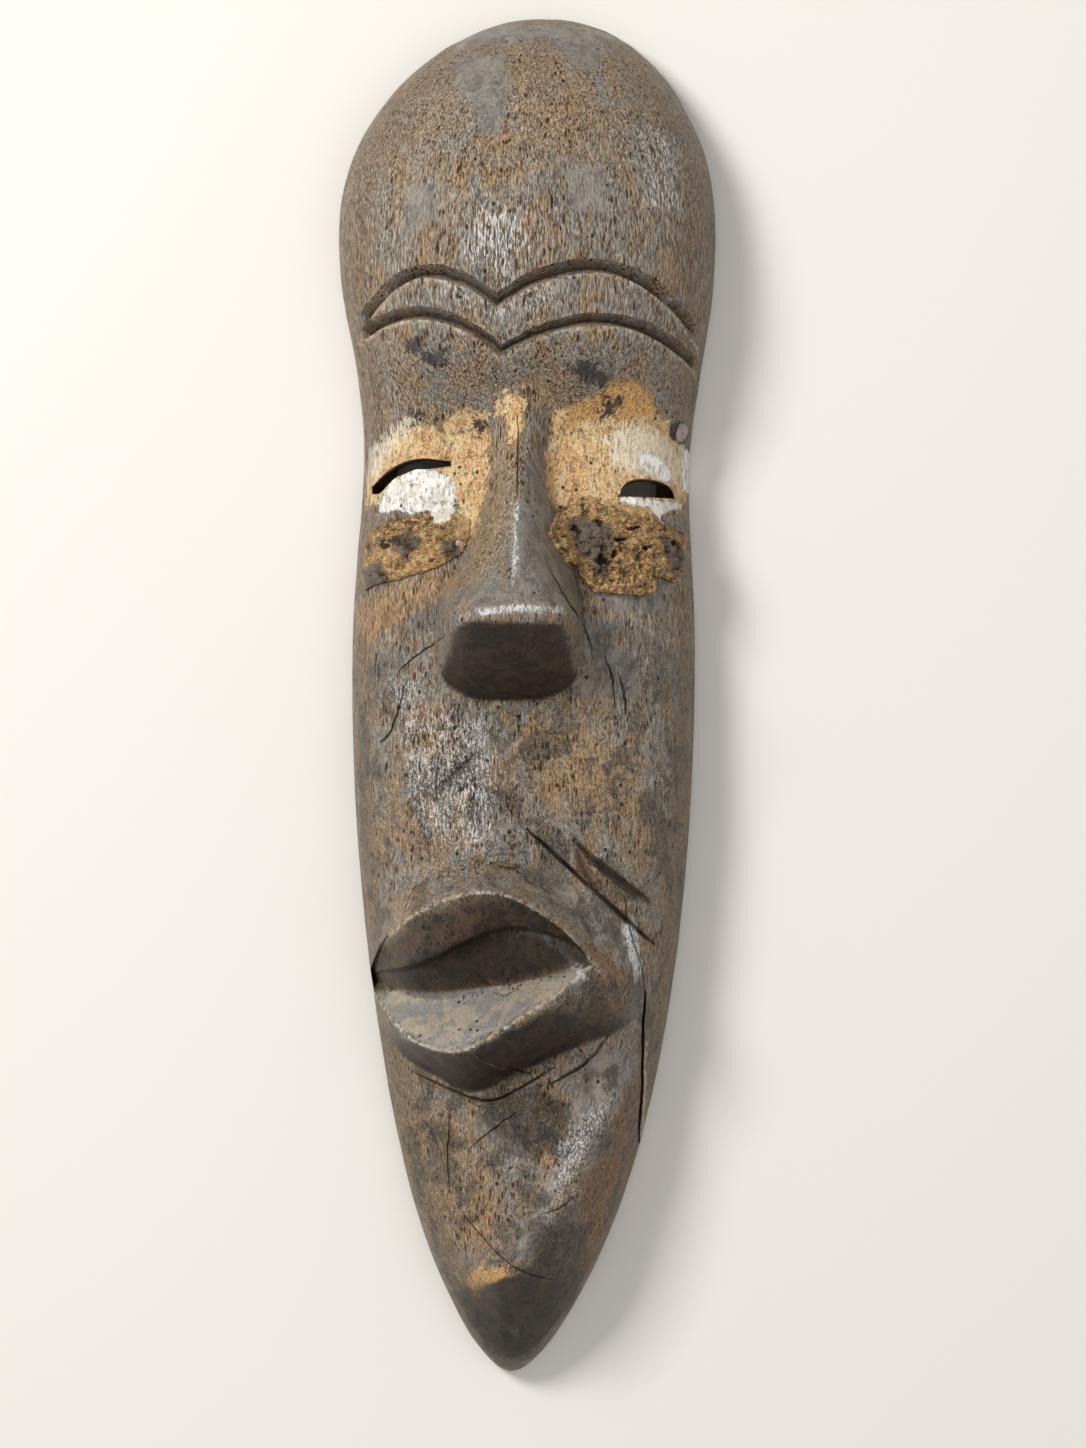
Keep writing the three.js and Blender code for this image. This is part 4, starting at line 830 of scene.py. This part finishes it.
LEFT_CRUST = {
    "centre": (-0.58, 0.212),
    "edge": [
        (-0.845, 0.15), (-0.8, 0.157), (-0.75, 0.16), (-0.657, 0.165), (-0.537, 0.174), (-0.425, 0.187),
        (-0.315, 0.205), (-0.283, 0.228), (-0.29, 0.255), (-0.38, 0.268), (-0.55, 0.262), (-0.74, 0.252),
        (-0.83, 0.235), (-0.848, 0.195),
    ],
    "thickness": 2.2 * MM, "thinning": 0.4,
    "lumps": [((-0.66, 0.195), (0.1, 0.02), 0.5), ((-0.45, 0.21), (0.1, 0.02), 0.4)],
    "holes": [(-61, 66, 1.6, 1.1), (-41, 59, 1.4, 1), (-52, 60, 1.2, 0.8)],
    "lump_size": 8, "rough": 0.36,
}
CRUST_GRID = (230, 200)
EDGE_ANGLES = 721
SEAT, THINNEST = 0.7 * MM, 0.35 * MM  # how far a crust goes into the wood, and stands up at its edge
CRUST_SOOT = [
    [(15, 74), (22, 76), (34, 74), (36, 66), (33, 57), (24, 58), (17, 64)],
    [(27, 56), (34, 55), (34, 50), (28, 50)],
    [(55, 70), (63, 66), (66, 56), (60, 52), (56, 60)],
    [(-58, 68), (-50, 72), (-44, 66), (-50, 60), (-57, 62)],
    [(-72, 54), (-62, 58), (-60, 48), (-70, 46)],
    [(-37, 66), (-30, 67), (-29, 59), (-36, 60)],
]


def kept_inside(node, points):
    """Points, moved into their node's box where they lie outside it."""
    low, high = (np.array(corner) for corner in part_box(node))
    return np.clip(points, low, high)


def cells(x, y, size, seed):
    """Distances to the two nearest of points scattered one to a square, and the nearest's number."""
    u, v = x / size, y / size
    ci, cj = np.floor(u).astype(np.int64), np.floor(v).astype(np.int64)
    table = np.random.default_rng(seed).uniform(0, 1, (2, 4096))
    first, second, number = np.full(u.shape, 9.0), np.full(u.shape, 9.0), np.zeros(u.shape)
    for di in (-1, 0, 1):
        for dj in (-1, 0, 1):
            key = ((ci + di) * 7919 ^ (cj + dj) * 104729) % 4096
            d = np.hypot(ci + di + table[0][key] - u, cj + dj + table[1][key] - v)
            second = np.minimum(second, np.maximum(first, d))
            number = np.where(d < first, table[0][(key * 31 + 7) % 4096], number)
            first = np.minimum(first, d)
    return first, second, number


def reach_of(edge, angle):
    """How far a closed outline lies from its centre at each angle: rays cut with the outline's sides."""
    ray_x, ray_y = np.cos(angle)[:, None], np.sin(angle)[:, None]
    side = np.roll(edge, -1, 0) - edge
    cross = side[:, 0] * ray_y - side[:, 1] * ray_x
    t = (edge[:, 1] * ray_x - edge[:, 0] * ray_y) / np.where(np.abs(cross) < 1e-12, 1e-12, cross)
    far = (edge[:, 0] + t * side[:, 0]) * ray_x + (edge[:, 1] + t * side[:, 1]) * ray_y
    return np.max(np.where((t >= -1e-6) & (t <= 1 + 1e-6) & (far > 0), far, 0), 1)


def crust(name, node, centre, edge, thickness, thinning, lumps, holes, lump_size, rough, seed):
    """Crumbs on the wood: a disc grid drawn out to the edge and lifted off the wood by its thickness."""
    xi, eta = to_disc(*(np.linspace(-1, 1, count) for count in CRUST_GRID))
    rho, theta = np.minimum(np.hypot(xi, eta), 1), np.arctan2(eta, xi)
    scale = (np.max(edge, 0) - np.min(edge, 0)) / 2
    angle = np.linspace(-np.pi, np.pi, EDGE_ANGLES)
    reach = reach_of((np.array(edge) - centre) / scale, angle)
    ragged = 1 - 0.035 * (1 + lattice_noise(seed, np.cos(angle) * 9, np.sin(angle) * 9))
    distance = rho * np.interp(theta, angle, reach * ragged)
    m = centre[0] + scale[0] * distance * np.cos(theta)
    n = centre[1] + scale[1] * distance * np.sin(theta)
    x, y = m * HALF_WIDTH / MM, n * HALF_LENGTH / MM

    def rough_at(size, key, stretch=1.0):
        return lattice_noise(seed + key, x / size, y / size * stretch)

    warp = rough_at(4, 1), rough_at(4.3, 5)
    first, second, number = cells(x + 2.2 * warp[0], y + 2.2 * warp[1], lump_size, seed)
    crumb_place = x + 0.9 * warp[1], y + 0.9 * warp[0]
    crumb_first, crumb_second, crumb = cells(*crumb_place, lump_size / 3.4, seed + 2)
    billows = 1 - 2 * np.abs(rough_at(5.2, 9)) + 0.7 * (1 - 2 * np.abs(rough_at(2.4, 10)))
    pit = 0.8 * ease(0.3, 0.7, rough_at(2.6, 7, 1.6)) + 0.5 * ease(0.4, 0.8, rough_at(1.4, 8))
    torn_x = x + 1.6 * warp[0] + 0.7 * rough_at(1.2, 11)
    torn_y = y + 1.6 * warp[1] + 0.7 * rough_at(1.2, 12)
    hole = sum(
        ease(1.5, 0.5, np.hypot((torn_x - hx) / wide, (torn_y - hy) / tall)) for hx, hy, wide, tall in holes
    )
    grit = rough_at(0.85, 3) + 0.7 * rough_at(0.42, 4)
    crumbs = rough * (
        1.5 * (number - 0.5) * ease(0, 0.2, second - first)
        + 1.0 * (crumb - 0.5) * ease(0, 0.3, crumb_second - crumb_first)
        + 0.6 * billows - pit - 2.6 * hole + 0.22 * grit
    )
    swell = 0.5 + 0.5 * np.sqrt(1 - rho**2 * 0.999)
    lump = sum(height * bump(m, n, at, spread) for at, spread, height in lumps)
    lip = ease(1, 0.93, rho)
    thick = thickness * (1 - thinning * ease(0.2, 0.27, n))
    lift = thick * swell + (lump + crumbs - 0.4 * rough) * lip * MM
    bed, out = on_front(m, n), outward_at(m, n)
    top = bed + out * np.maximum(lift, THINNEST)[..., None]
    quads, ring = grid_faces(*CRUST_GRID), edge_of(*CRUST_GRID)
    count, after = x.size, np.roll(ring, -1)
    walls = np.stack([ring, ring + count, after + count, after], -1)
    faces = np.concatenate([quads, quads[:, ::-1] + count, walls]).tolist()
    piece = new_object(name, kept_inside(node, np.stack([top, bed - out * SEAT])), faces)
    height = np.clip((crumbs / rough + 2.4 + 0.3 * lump) / 4, 0, 1)
    store(piece, "height", np.tile(height.ravel(), 2))
    patches = {"kaolin": PATCHES["kaolin"], "ochre": PATCHES["ochre"], "sooty": CRUST_SOOT}
    for patch, outlines in patches.items():
        store(piece, patch, np.tile(patch_field(outlines, x.ravel(), y.ravel(), 3), 2))
    piece.data.shade_smooth()
    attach(piece, "root")
    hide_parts(node)
    return piece


right_crust = crust("right_crust", "crust_right", **RIGHT_CRUST, seed=51)
left_crust = crust("left_crust", "crust_left", **LEFT_CRUST, seed=61)


# The nails
# Two hand-forged iron nails that pin the crusts' edges: a hammered head, worn pinkish and bright on
# its high side, on a shank that is driven into the wood.
NAILS = {
    "right_nail": {
        "node": "nail_right", "at": (0.792, 0.383), "size": (7.6, 9.4), "proud": 2.2, "turn": -35,
        "square": 2.7, "lean": 0.55,
    },
    "left_nail": {
        "node": "nail_left", "at": (-0.35, 0.218), "size": (4.6, 4.9), "proud": 1.6, "turn": 20,
        "square": 2.3, "lean": 0,
    },
}
SHANK = {"radius": 1.1 * MM, "length": 9 * MM}
NAIL_SIDES = 64


def nail(name, node, at, size, proud, turn, square, lean, seed):
    """Rings round the nail's axis: the shank, the head's underside and a hammered dome."""
    m, n = np.array([at[0]]), np.array([at[1]])
    foot = on_front(m, n)[0]
    out = unit((1 - lean) * outward_at(m, n)[0] + lean * np.array([0, 0, 1]))
    right = unit(np.cross([0, 1, 0], out))
    up = np.cross(out, right)
    c, s = np.cos(np.radians(turn)), np.sin(np.radians(turn))
    along, across = right * c + up * s, up * c - right * s
    angle = np.linspace(0, 2 * np.pi, NAIL_SIDES, endpoint=False)
    circle = np.stack([np.cos(angle), np.sin(angle)])
    head = np.sign(circle) * np.abs(circle) ** (2 / square)
    head = head * np.array(size)[:, None] / 2 * MM * (0.965 + 0.035 * lattice_noise(seed, *(circle * 2)))
    shank = circle * SHANK["radius"]
    rings = [
        (shank * 0.2, -SHANK["length"]), (shank * 0.9, -SHANK["length"] * 0.9), (shank, -1.2 * MM),
        (head * 0.9, -0.6 * MM), (head * 0.985, 0),
    ]
    for share in np.linspace(0, 1, 16)[1:-1]:
        turned = share * np.pi / 2
        rings.append((head * np.cos(turned) ** 0.7, proud * MM * np.sin(turned) ** 0.8))
    rings.append((head * 0.05, proud * MM))
    flat = np.stack([np.stack([*ring, np.full(NAIL_SIDES, w)], -1) for ring, w in rings])
    dent = 0.14 * MM * lattice_noise(seed + 1, flat[..., 0] / (1.6 * MM), flat[..., 1] / (1.6 * MM))
    flat[..., 2] += np.where(flat[..., 2] > 0.2 * MM, dent - 0.14 * MM, 0)
    points = foot + flat[..., :1] * along + flat[..., 1:2] * across + flat[..., 2:] * out
    piece = closed_run(name, kept_inside(node, points)[::-1])
    share = np.linalg.norm(flat[..., :2], axis=-1) / np.linalg.norm(head, axis=0)
    store(piece, "worn", np.where(flat[..., 2] > 0, 1 - share**3, 0)[::-1].ravel())
    piece.data.shade_smooth()
    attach(piece, "root")
    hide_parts(node)
    return piece


nails = [nail(name, **nail_facts, seed=71 + k) for k, (name, nail_facts) in enumerate(NAILS.items())]


# Finishes
# Old hardwood, dried clay and hammered iron. Each is made of noises laid along the grain, sized in
# millimetres of the real piece.


def linear(hex_colour):
    """An sRGB colour in linear light."""
    srgb = np.array([int(hex_colour[k : k + 2], 16) / 255 for k in (1, 3, 5)])
    return (*np.where(srgb <= 0.04045, srgb / 12.92, ((srgb + 0.055) / 1.055) ** 2.4), 1)


def add(tree, kind, sockets=(), **settings):
    """Add a node, with its settings, and set or link its sockets."""
    node = tree.nodes.new(kind)
    for name, value in settings.items():
        setattr(node, name, value)
    for name, value in dict(sockets).items():
        if isinstance(value, bpy.types.NodeSocket):
            tree.links.new(value, node.inputs[name])
        else:
            node.inputs[name].default_value = value
    return node


def maths(tree, operation, *values):
    return add(tree, "ShaderNodeMath", enumerate(values), operation=operation).outputs[0]


def step(tree, value, low, high, start=0.0, end=1.0):
    """A smooth step of a value from low to high."""
    sockets = {"Value": value, "From Min": low, "From Max": high, "To Min": start, "To Max": end}
    return add(tree, "ShaderNodeMapRange", sockets, interpolation_type="SMOOTHSTEP").outputs[0]


def over(tree, share, below, above):
    """One colour laid over another."""
    below, above = (linear(c) if isinstance(c, str) else c for c in (below, above))
    return add(tree, "ShaderNodeMix", {0: share, 6: below, 7: above}, data_type="RGBA").outputs[2]


def tones(tree, value, low, high, dark, light):
    """A colour that turns from dark to light as a value passes from low to high."""
    return over(tree, step(tree, value, low, high), dark, light)


def times(value, share):
    """The product of a value and a share."""
    return maths(value.id_data, "MULTIPLY", value, share)


def without(value, share=1.0):
    """1 less a share of a value."""
    return maths(value.id_data, "SUBTRACT", 1, times(value, share))


def mixed(tree, share, below, above):
    """One value that turns into another by a share."""
    return add(tree, "ShaderNodeMix", {0: share, 2: below, 3: above}).outputs[0]


def layered(tree, colour, layers):
    """Colours laid over one in turn. Each has a share, how strong it is, and a colour or two tones."""
    for share, strength, tone in layers:
        above = tones(tree, *tone) if isinstance(tone, tuple) else tone
        colour = over(tree, times(share, strength), colour, above)
    return colour


def millimetres(tree, size):
    """Places on the piece in units of a size in millimetres: across, along the grain and deep."""
    place = add(tree, "ShaderNodeTexCoord").outputs["Object"]
    return add(tree, "ShaderNodeMapping", {"Vector": place, "Scale": [1000 / s for s in size]}).outputs[0]


def noise(tree, size, detail=3, roughness=0.55, distortion=0.0):
    """A noise from about 0.3 to 0.7."""
    sockets = {"Vector": millimetres(tree, size), "Scale": 1, "Detail": detail}
    sockets |= {"Roughness": roughness, "Distortion": distortion}
    return add(tree, "ShaderNodeTexNoise", sockets).outputs["Fac"]


def cell(tree, size):
    """How far the nearest of scattered points is."""
    sockets = {"Vector": millimetres(tree, size), "Scale": 1}
    return add(tree, "ShaderNodeTexVoronoi", sockets).outputs["Distance"]


def field(tree, name):
    return add(tree, "ShaderNodeAttribute", attribute_name=name).outputs["Fac"]


def frayed(tree, name, fray, width=0.06, amount=0.9):
    """A painted patch: its field, shifted by a noise and cut off at its middle."""
    moved = maths(tree, "MULTIPLY_ADD", maths(tree, "SUBTRACT", fray, 0.5), amount, field(tree, name))
    return step(tree, moved, 0.5 - width, 0.5 + width)


def new_material(name):
    material = bpy.data.materials.new(name)
    material.use_nodes = True
    tree = material.node_tree
    tree.nodes.clear()
    return material, tree


def finish_material(tree, colour, roughness, height, **extra):
    """Close a material: its colour, roughness and a height in metres that bends its light."""
    normal = add(tree, "ShaderNodeBump", {"Height": height, "Distance": 1.0, "Strength": 1.0}).outputs[0]
    sockets = {"Base Color": colour, "Roughness": roughness, "Normal": normal, **extra}
    surface = add(tree, "ShaderNodeBsdfPrincipled", sockets).outputs[0]
    add(tree, "ShaderNodeOutputMaterial", {"Surface": surface})


def add_up(tree, terms):
    """The sum of shares: each term is a value and its weight."""
    total = None
    for value, weight in terms:
        part = times(value, weight)
        total = part if total is None else maths(tree, "ADD", total, part)
    return total


# Old hardwood: grey-brown, streaked along the grain and split by short dark fissures, with tan dirt
# beside them, a waxy grey bloom where it is handled, and what is left of ochre, white earth and soot.
wood, tree = new_material("old_hardwood")
calm = field(tree, "calm")
zone = noise(tree, (15, 24, 15), 9, 0.66, 0.5)
deep_zone = noise(tree, (17, 20, 17), 9, 0.7, 0.6)
patchy = noise(tree, (6, 10, 6), 6, 0.68, 0.8)
swirl = noise(tree, (2.0, 3.0, 2.0), 6, 0.66, 2.4)
streaky = mixed(tree, times(calm, 0.62), noise(tree, (0.95, 8, 0.95), 5, 0.66, 0.45), swirl)
curls = noise(tree, (0.9, 1.5, 0.9), 4, 0.65, 3.0)
fibres = mixed(tree, times(calm, 0.5), noise(tree, (0.42, 3.2, 0.42), 2, 0.5, 0.5), curls)
fine = noise(tree, (0.5, 0.8, 0.5), 3, 0.75)
fray = noise(tree, (4.2, 5.6, 4.2), 7, 0.76, 1.4)
smooth = frayed(tree, "smooth", fray, 0.12, 1.5)
rough_share = without(smooth, 0.85)


def contour(size, level, width, distortion=0.3):
    """Thin wandering lines where a noise passes a level."""
    away = maths(tree, "ABSOLUTE", maths(tree, "SUBTRACT", noise(tree, size, 3, 0.5, distortion), level))
    return step(tree, away, width, width * 0.4)


def inside_pore(size, grain, ragged, amount):
    """How far inside a pore a place is: the size of the pores there, less a ragged distance."""
    away = maths(tree, "MULTIPLY_ADD", maths(tree, "SUBTRACT", ragged, 0.5), amount, cell(tree, grain))
    return maths(tree, "SUBTRACT", size, away)


fissure = times(contour((1.5, 13, 1.5), 0.44, 0.022), step(tree, noise(tree, (3, 7, 3), 3, 0.6), 0.5, 0.58))
fissure = times(fissure, times(step(tree, noise(tree, (9, 14, 9), 5, 0.65), 0.42, 0.6), rough_share))
short_size = step(tree, noise(tree, (9, 15, 9), 5, 0.62), 0.4, 0.62, 0.04, 0.31)
long_size = step(tree, noise(tree, (12, 18, 12), 4, 0.6), 0.44, 0.62, 0, 0.25)
short_pore = inside_pore(short_size, (1.5, 6.2, 1.5), fine, 0.28)
long_pore = inside_pore(long_size, (2.7, 15, 2.7), fray, 0.3)


def pores_between(short, long):
    """Pores of both kinds, each cut off between two levels, and fewer where the wood is smooth."""
    long_ones = times(step(tree, long_pore, *long), without(calm, 0.7))
    return times(maths(tree, "MAXIMUM", step(tree, short_pore, *short), long_ones), rough_share)


pores = pores_between((-0.015, 0.03), (-0.02, 0.02))
flank = pores_between((-0.2, -0.03), (-0.14, -0.02))
worm = step(tree, maths(tree, "SUBTRACT", 0.1, cell(tree, (7.5, 8.5, 7.5))), -0.02, 0.03)
hair = times(contour((1.4, 3.4, 1.4), 0.5, 0.022, 2.2), step(tree, patchy, 0.44, 0.54))
dark_fibres = times(step(tree, fibres, 0.46, 0.38), rough_share)
pale_fibres = times(step(tree, fibres, 0.54, 0.63), without(smooth, 0.5))

# What lies on the wood: dirt in the low places and worn paint, with painted shade in recesses and under
# overhangs and painted highlights on edges and ridges.
side, sunken, underside, inner = (field(tree, name) for name in ("side", "sunken", "underside", "inner"))
tan = times(frayed(tree, "tan", zone, 0.15, 2.0), step(tree, streaky, 0.44, 0.54, 0.2, 0.95))
low_places = times(step(tree, field(tree, "relief"), 0.3, -0.6), step(tree, zone, 0.53, 0.48))
browned = maths(tree, "MAXIMUM", low_places, tan)
rust = frayed(tree, "rust", fray, 0.15, 1.6)
shade = frayed(tree, "shade", fray, 0.2, 1.2)
lip = frayed(tree, "lip", fray, 0.15, 0.8)
scar = frayed(tree, "scar", fine, 0.1, 0.6)
chalky = frayed(tree, "chalky", streaky, 0.1, 1.8)
drips = times(frayed(tree, "drips", fray, 0.05, 2.0), step(tree, streaky, 0.42, 0.5, 0.2, 0.9))
worn_off = step(tree, noise(tree, (2.2, 2.8, 2.2), 6, 0.76), 0.56, 0.6)
ochre = times(frayed(tree, "ochre", fray, 0.04, 1.5), without(worn_off, 0.85))
orange = times(frayed(tree, "orange", fray, 0.05, 2.0), without(worn_off, 0.6))
kaolin = times(frayed(tree, "kaolin", fray, 0.04, 1.4), without(worn_off, 0.55))
# Soot patches, and painted shade in the rings round the nails.
soot_and_nail_shade = times(frayed(tree, "black", fray, 0.04, 3.2), without(hair, 0.8))
painted = maths(tree, "MAXIMUM", ochre, kaolin)
# Painted highlights: near-white glints on ridges and edges, laid on as colour with a lower roughness.
streaks = times(frayed(tree, "streaks", fray, 0.3, 1.2), step(tree, fibres, 0.47, 0.55))
streaks = times(streaks, step(tree, streaky, 0.47, 0.54))
gleam = times(frayed(tree, "gleam", fray, 0.12, 1.1), step(tree, streaky, 0.42, 0.54, 0.15, 1))
shine = maths(tree, "MAXIMUM", streaks, gleam)
# Pale edges: rubbed wear and painted highlight.
edge_wear_and_highlight = times(field(tree, "edge"), step(tree, noise(tree, (2.4, 2.4, 2.4), 4, 0.7), 0.42, 0.56))
# Painted shade with some grime: darker in recesses and on surfaces that face down.
grime_and_shade = times(maths(tree, "MAXIMUM", times(sunken, 0.85), times(underside, 0.8)), without(smooth, 0.9))
grime_and_shade = times(times(grime_and_shade, without(edge_wear_and_highlight, 0.8)), without(lip, 0.92))
bare = without(painted, 0.75)

lip_tone = tones(tree, zone, 0.44, 0.54, "#7a7a7b", "#aa9c88")
lip_tone = over(tree, step(tree, fibres, 0.5, 0.62, 0, 0.6), lip_tone, "#d9d2c6")
ochre_tone = tones(tree, patchy, 0.42, 0.58, "#cb9a60", "#efcf9a")
ochre_tone = over(tree, step(tree, fine, 0.53, 0.6, 0, 0.8), ochre_tone, "#fcebcb")
ochre_tone = over(tree, step(tree, fine, 0.44, 0.36, 0, 0.7), ochre_tone, "#9c6733")
colour = layered(tree, tones(tree, streaky, 0.42, 0.58, "#483b2e", "#a08f7b"), [
    (step(tree, zone, 0.47, 0.53), 0.85, (streaky, 0.42, 0.58, "#53504c", "#96928b")),
    (browned, 0.7, (streaky, 0.4, 0.6, "#6e4d2b", "#b98f5b")),
    (side, 0.88, (streaky, 0.42, 0.58, "#382817", "#856845")),
    (rust, 0.75, (streaky, 0.4, 0.6, "#3c2413", "#96633a")),
    (smooth, 0.75, (patchy, 0.4, 0.6, "#5a5958", "#8f8e8c")),
    (dark_fibres, 0.65, "#2e241a"),
    (pale_fibres, 0.58, "#d3c7b5"),
    (flank, 0.6, (fine, 0.35, 0.65, "#80592f", "#bd9059")),
    (times(calm, step(tree, deep_zone, 0.49, 0.56)), 0.75, (swirl, 0.42, 0.6, "#241e1a", "#5b534b")),
    (lip, 0.85, lip_tone),
    (shade, 0.8, (swirl, 0.42, 0.6, "#1a1510", "#3d342b")),
    (hair, 0.75, "#dfc296"),
    (drips, 0.75, (fibres, 0.4, 0.6, "#7c5a35", "#cb9f69")),
    (ochre, 0.97, ochre_tone),
    (orange, 0.8, (fine, 0.42, 0.58, "#9a6128", "#efbf78")),
    (chalky, 0.7, "#f5ead5"),
    (soot_and_nail_shade, 0.93, (fine, 0.45, 0.6, "#131217", "#44434a")),
    (kaolin, 0.98, (patchy, 0.5, 0.68, "#fffdf6", "#e4d9c6")),
    (scar, 0.6, "#3a2f26"),
    # Pale edges: rubbed wear and painted highlight.
    (edge_wear_and_highlight, 0.8, (patchy, 0.45, 0.55, "#d8b88c", "#ebe7e0")),
    # Painted highlights on ridges, the nose and the lip's rim.
    (shine, 0.82, "#eeeff0"),
    # Painted shade with some grime in recesses and under overhangs; below, shade deepened in sunken places.
    (grime_and_shade, 1, (patchy, 0.4, 0.62, "#21180f", "#553f29")),
    (times(shade, sunken), 0.6, "#15100b"),
    # Painted shade on surfaces that face down, with some darker patina.
    (underside, 0.7, (patchy, 0.42, 0.62, "#130c07", "#3d2a19")),
    (inner, 1, (streaky, 0.35, 0.65, "#4b3a28", "#6e5638")),
    (times(fissure, bare), 0.95, "#1f160e"),
    (times(pores, bare), 0.93, "#1a120c"),
    (worm, 0.9, "#0f0b08"),
])
roughness = step(tree, fray, 0.4, 0.6, 0.5, 0.3)
for share, value in ((smooth, 0.28), (shine, 0.2), (painted, 0.85), (grime_and_shade, 0.45)):
    roughness = mixed(tree, share, roughness, value)
height = add_up(tree, [
    (streaky, 0.9 * MM), (patchy, 0.7 * MM), (fibres, 0.25 * MM), (fine, 0.16 * MM), (fissure, -0.5 * MM),
    (pores, -0.6 * MM), (flank, -0.15 * MM), (worm, -0.8 * MM), (hair, 0.14 * MM), (painted, 0.3 * MM),
    (kaolin, 0.2 * MM),
])
finish_material(tree, colour, roughness, height)
mask.data.materials.clear()
mask.data.materials.append(wood)

# Dried ochre clay, toned by its height: light and orange on the lumps' tops and dark brown in the pits and
# cracks, partly the clay's own colour and partly painted highlight and painted shade, with sooty grey parts
# and what is left of white earth.
clay, tree = new_material("dried_ochre_clay")
patchy = noise(tree, (3.2, 3.2, 3.2), 5, 0.68, 0.9)
fine = noise(tree, (0.6, 0.6, 0.6), 4, 0.72)
blotch = noise(tree, (9, 6, 9), 4, 0.62, 0.8)
browned = noise(tree, (4.5, 3.4, 4.5), 5, 0.7, 0.8)
level = add_up(tree, [(field(tree, "height"), 0.8), (patchy, 0.5), (fine, 0.45)])
sooty = maths(
    tree, "MAXIMUM", frayed(tree, "sooty", patchy, 0.12, 1.6), step(tree, blotch, 0.58, 0.63, 0, 0.7),
)
pebble = step(tree, maths(tree, "SUBTRACT", 0.12, cell(tree, (3.2, 2.6, 3.2))), -0.02, 0.02)
# Painted shade: the base runs to near black in the pits and cracks; the lighter layers and pale specks on
# the lumps' tops are partly painted highlight.
colour = layered(tree, tones(tree, level, 0.5, 0.68, "#171009", "#5f4326"), [
    (step(tree, level, 0.64, 0.8), 1, (blotch, 0.45, 0.55, "#6d4e2b", "#8f6c40")),
    (step(tree, level, 0.78, 0.98), 1, (patchy, 0.46, 0.6, "#9c7544", "#d0ab77")),
    (step(tree, browned, 0.5, 0.58), 0.7, (fine, 0.4, 0.6, "#3b2a18", "#7c5c38")),
    (times(step(tree, fine, 0.55, 0.63), step(tree, level, 0.75, 0.9)), 1, "#ecd0a0"),
    (sooty, 0.85, (level, 0.72, 1.1, "#131111", "#625c56")),
    (frayed(tree, "kaolin", patchy, 0.06, 1.6), 0.95, "#f6eedf"),
    (frayed(tree, "ochre", patchy, 0.15, 1.4), 0.4, "#e2bd88"),
    (times(pebble, step(tree, patchy, 0.56, 0.62)), 1, "#f3e6cb"),
])
grains = cell(tree, (0.9, 0.9, 0.9))
height = add_up(tree, [(patchy, 1.4 * MM), (fine, 0.8 * MM), (grains, 0.25 * MM)])
finish_material(tree, colour, step(tree, fine, 0.3, 0.7, 0.55, 0.85), height)
for piece in (right_crust, left_crust):
    piece.data.materials.append(clay)

# Hammered iron: browned, dark at its rim and rubbed pinkish grey and bright on top.
iron, tree = new_material("hammered_iron")
worn = field(tree, "worn")
patchy = noise(tree, (1.8, 1.8, 1.8), 4, 0.6)
colour = tones(tree, worn, 0.1, 0.32, "#120e0c", "#8b8785")
colour = over(tree, times(step(tree, worn, 0.5, 0.9), step(tree, patchy, 0.35, 0.6)), colour, "#b8998f")
height = add_up(tree, [(patchy, 0.25 * MM), (noise(tree, (0.5, 0.5, 0.5), 2), 0.05 * MM)])
finish_material(tree, colour, step(tree, patchy, 0.35, 0.65, 0.28, 0.48), height, Metallic=0.25)
for piece in nails:
    piece.data.materials.append(iron)


# The floor, light and camera
# The mask lies on its back rim on a pale floor, seen from straight above. A large soft lamp stands
# at the upper left, and the shadow falls to the lower right.
FLOOR_HALF = 3.0
floor_corners = np.array([(-1, -1, 0), (1, -1, 0), (1, 1, 0), (-1, 1, 0)]) * FLOOR_HALF
floor = new_object("floor", floor_corners, [(0, 1, 2, 3)])
plaster, tree = new_material("pale_plaster")
finish_material(tree, linear("#e5e2dc"), 0.85, times(noise(tree, (1.6, 1.6, 1.6), 4), 0.02 * MM))
floor.data.materials.append(plaster)


def lamp(name, place, size, energy, colour, aim=(0, 0, 0.05)):
    """A square lamp that faces a point."""
    light = bpy.data.lights.new(name, "AREA")
    light.shape, light.size, light.energy, light.color = "SQUARE", size, energy, colour
    holder = bpy.data.objects.new(name, light)
    holder.location = place
    holder.rotation_euler = (Vector(aim) - Vector(place)).to_track_quat("-Z", "Y").to_euler()
    bpy.context.scene.collection.objects.link(holder)
    return holder


lamp("key", place=(-1.25, 1.0, 1.75), size=0.7, energy=46.5, colour=(1.0, 0.985, 0.965))
fill = lamp("fill", place=(0.5, -0.3, 2.6), size=2.6, energy=26, colour=(1.0, 0.99, 0.975))
fill.visible_glossy = False
world = bpy.data.worlds.new("studio")
world.use_nodes = True
background = world.node_tree.nodes["Background"]
background.inputs["Color"].default_value = (1.0, 0.98, 0.95, 1)
background.inputs["Strength"].default_value = 0.3
bpy.context.scene.world = world
bpy.context.scene.view_settings.view_transform = "Standard"

camera = bpy.data.objects.new("camera", bpy.data.cameras.new("camera"))
camera.data.lens, camera.data.sensor_width = 100, 36
camera.location = (0.0068, -0.0126, 1.79)
bpy.context.scene.collection.objects.link(camera)
bpy.context.scene.camera = camera
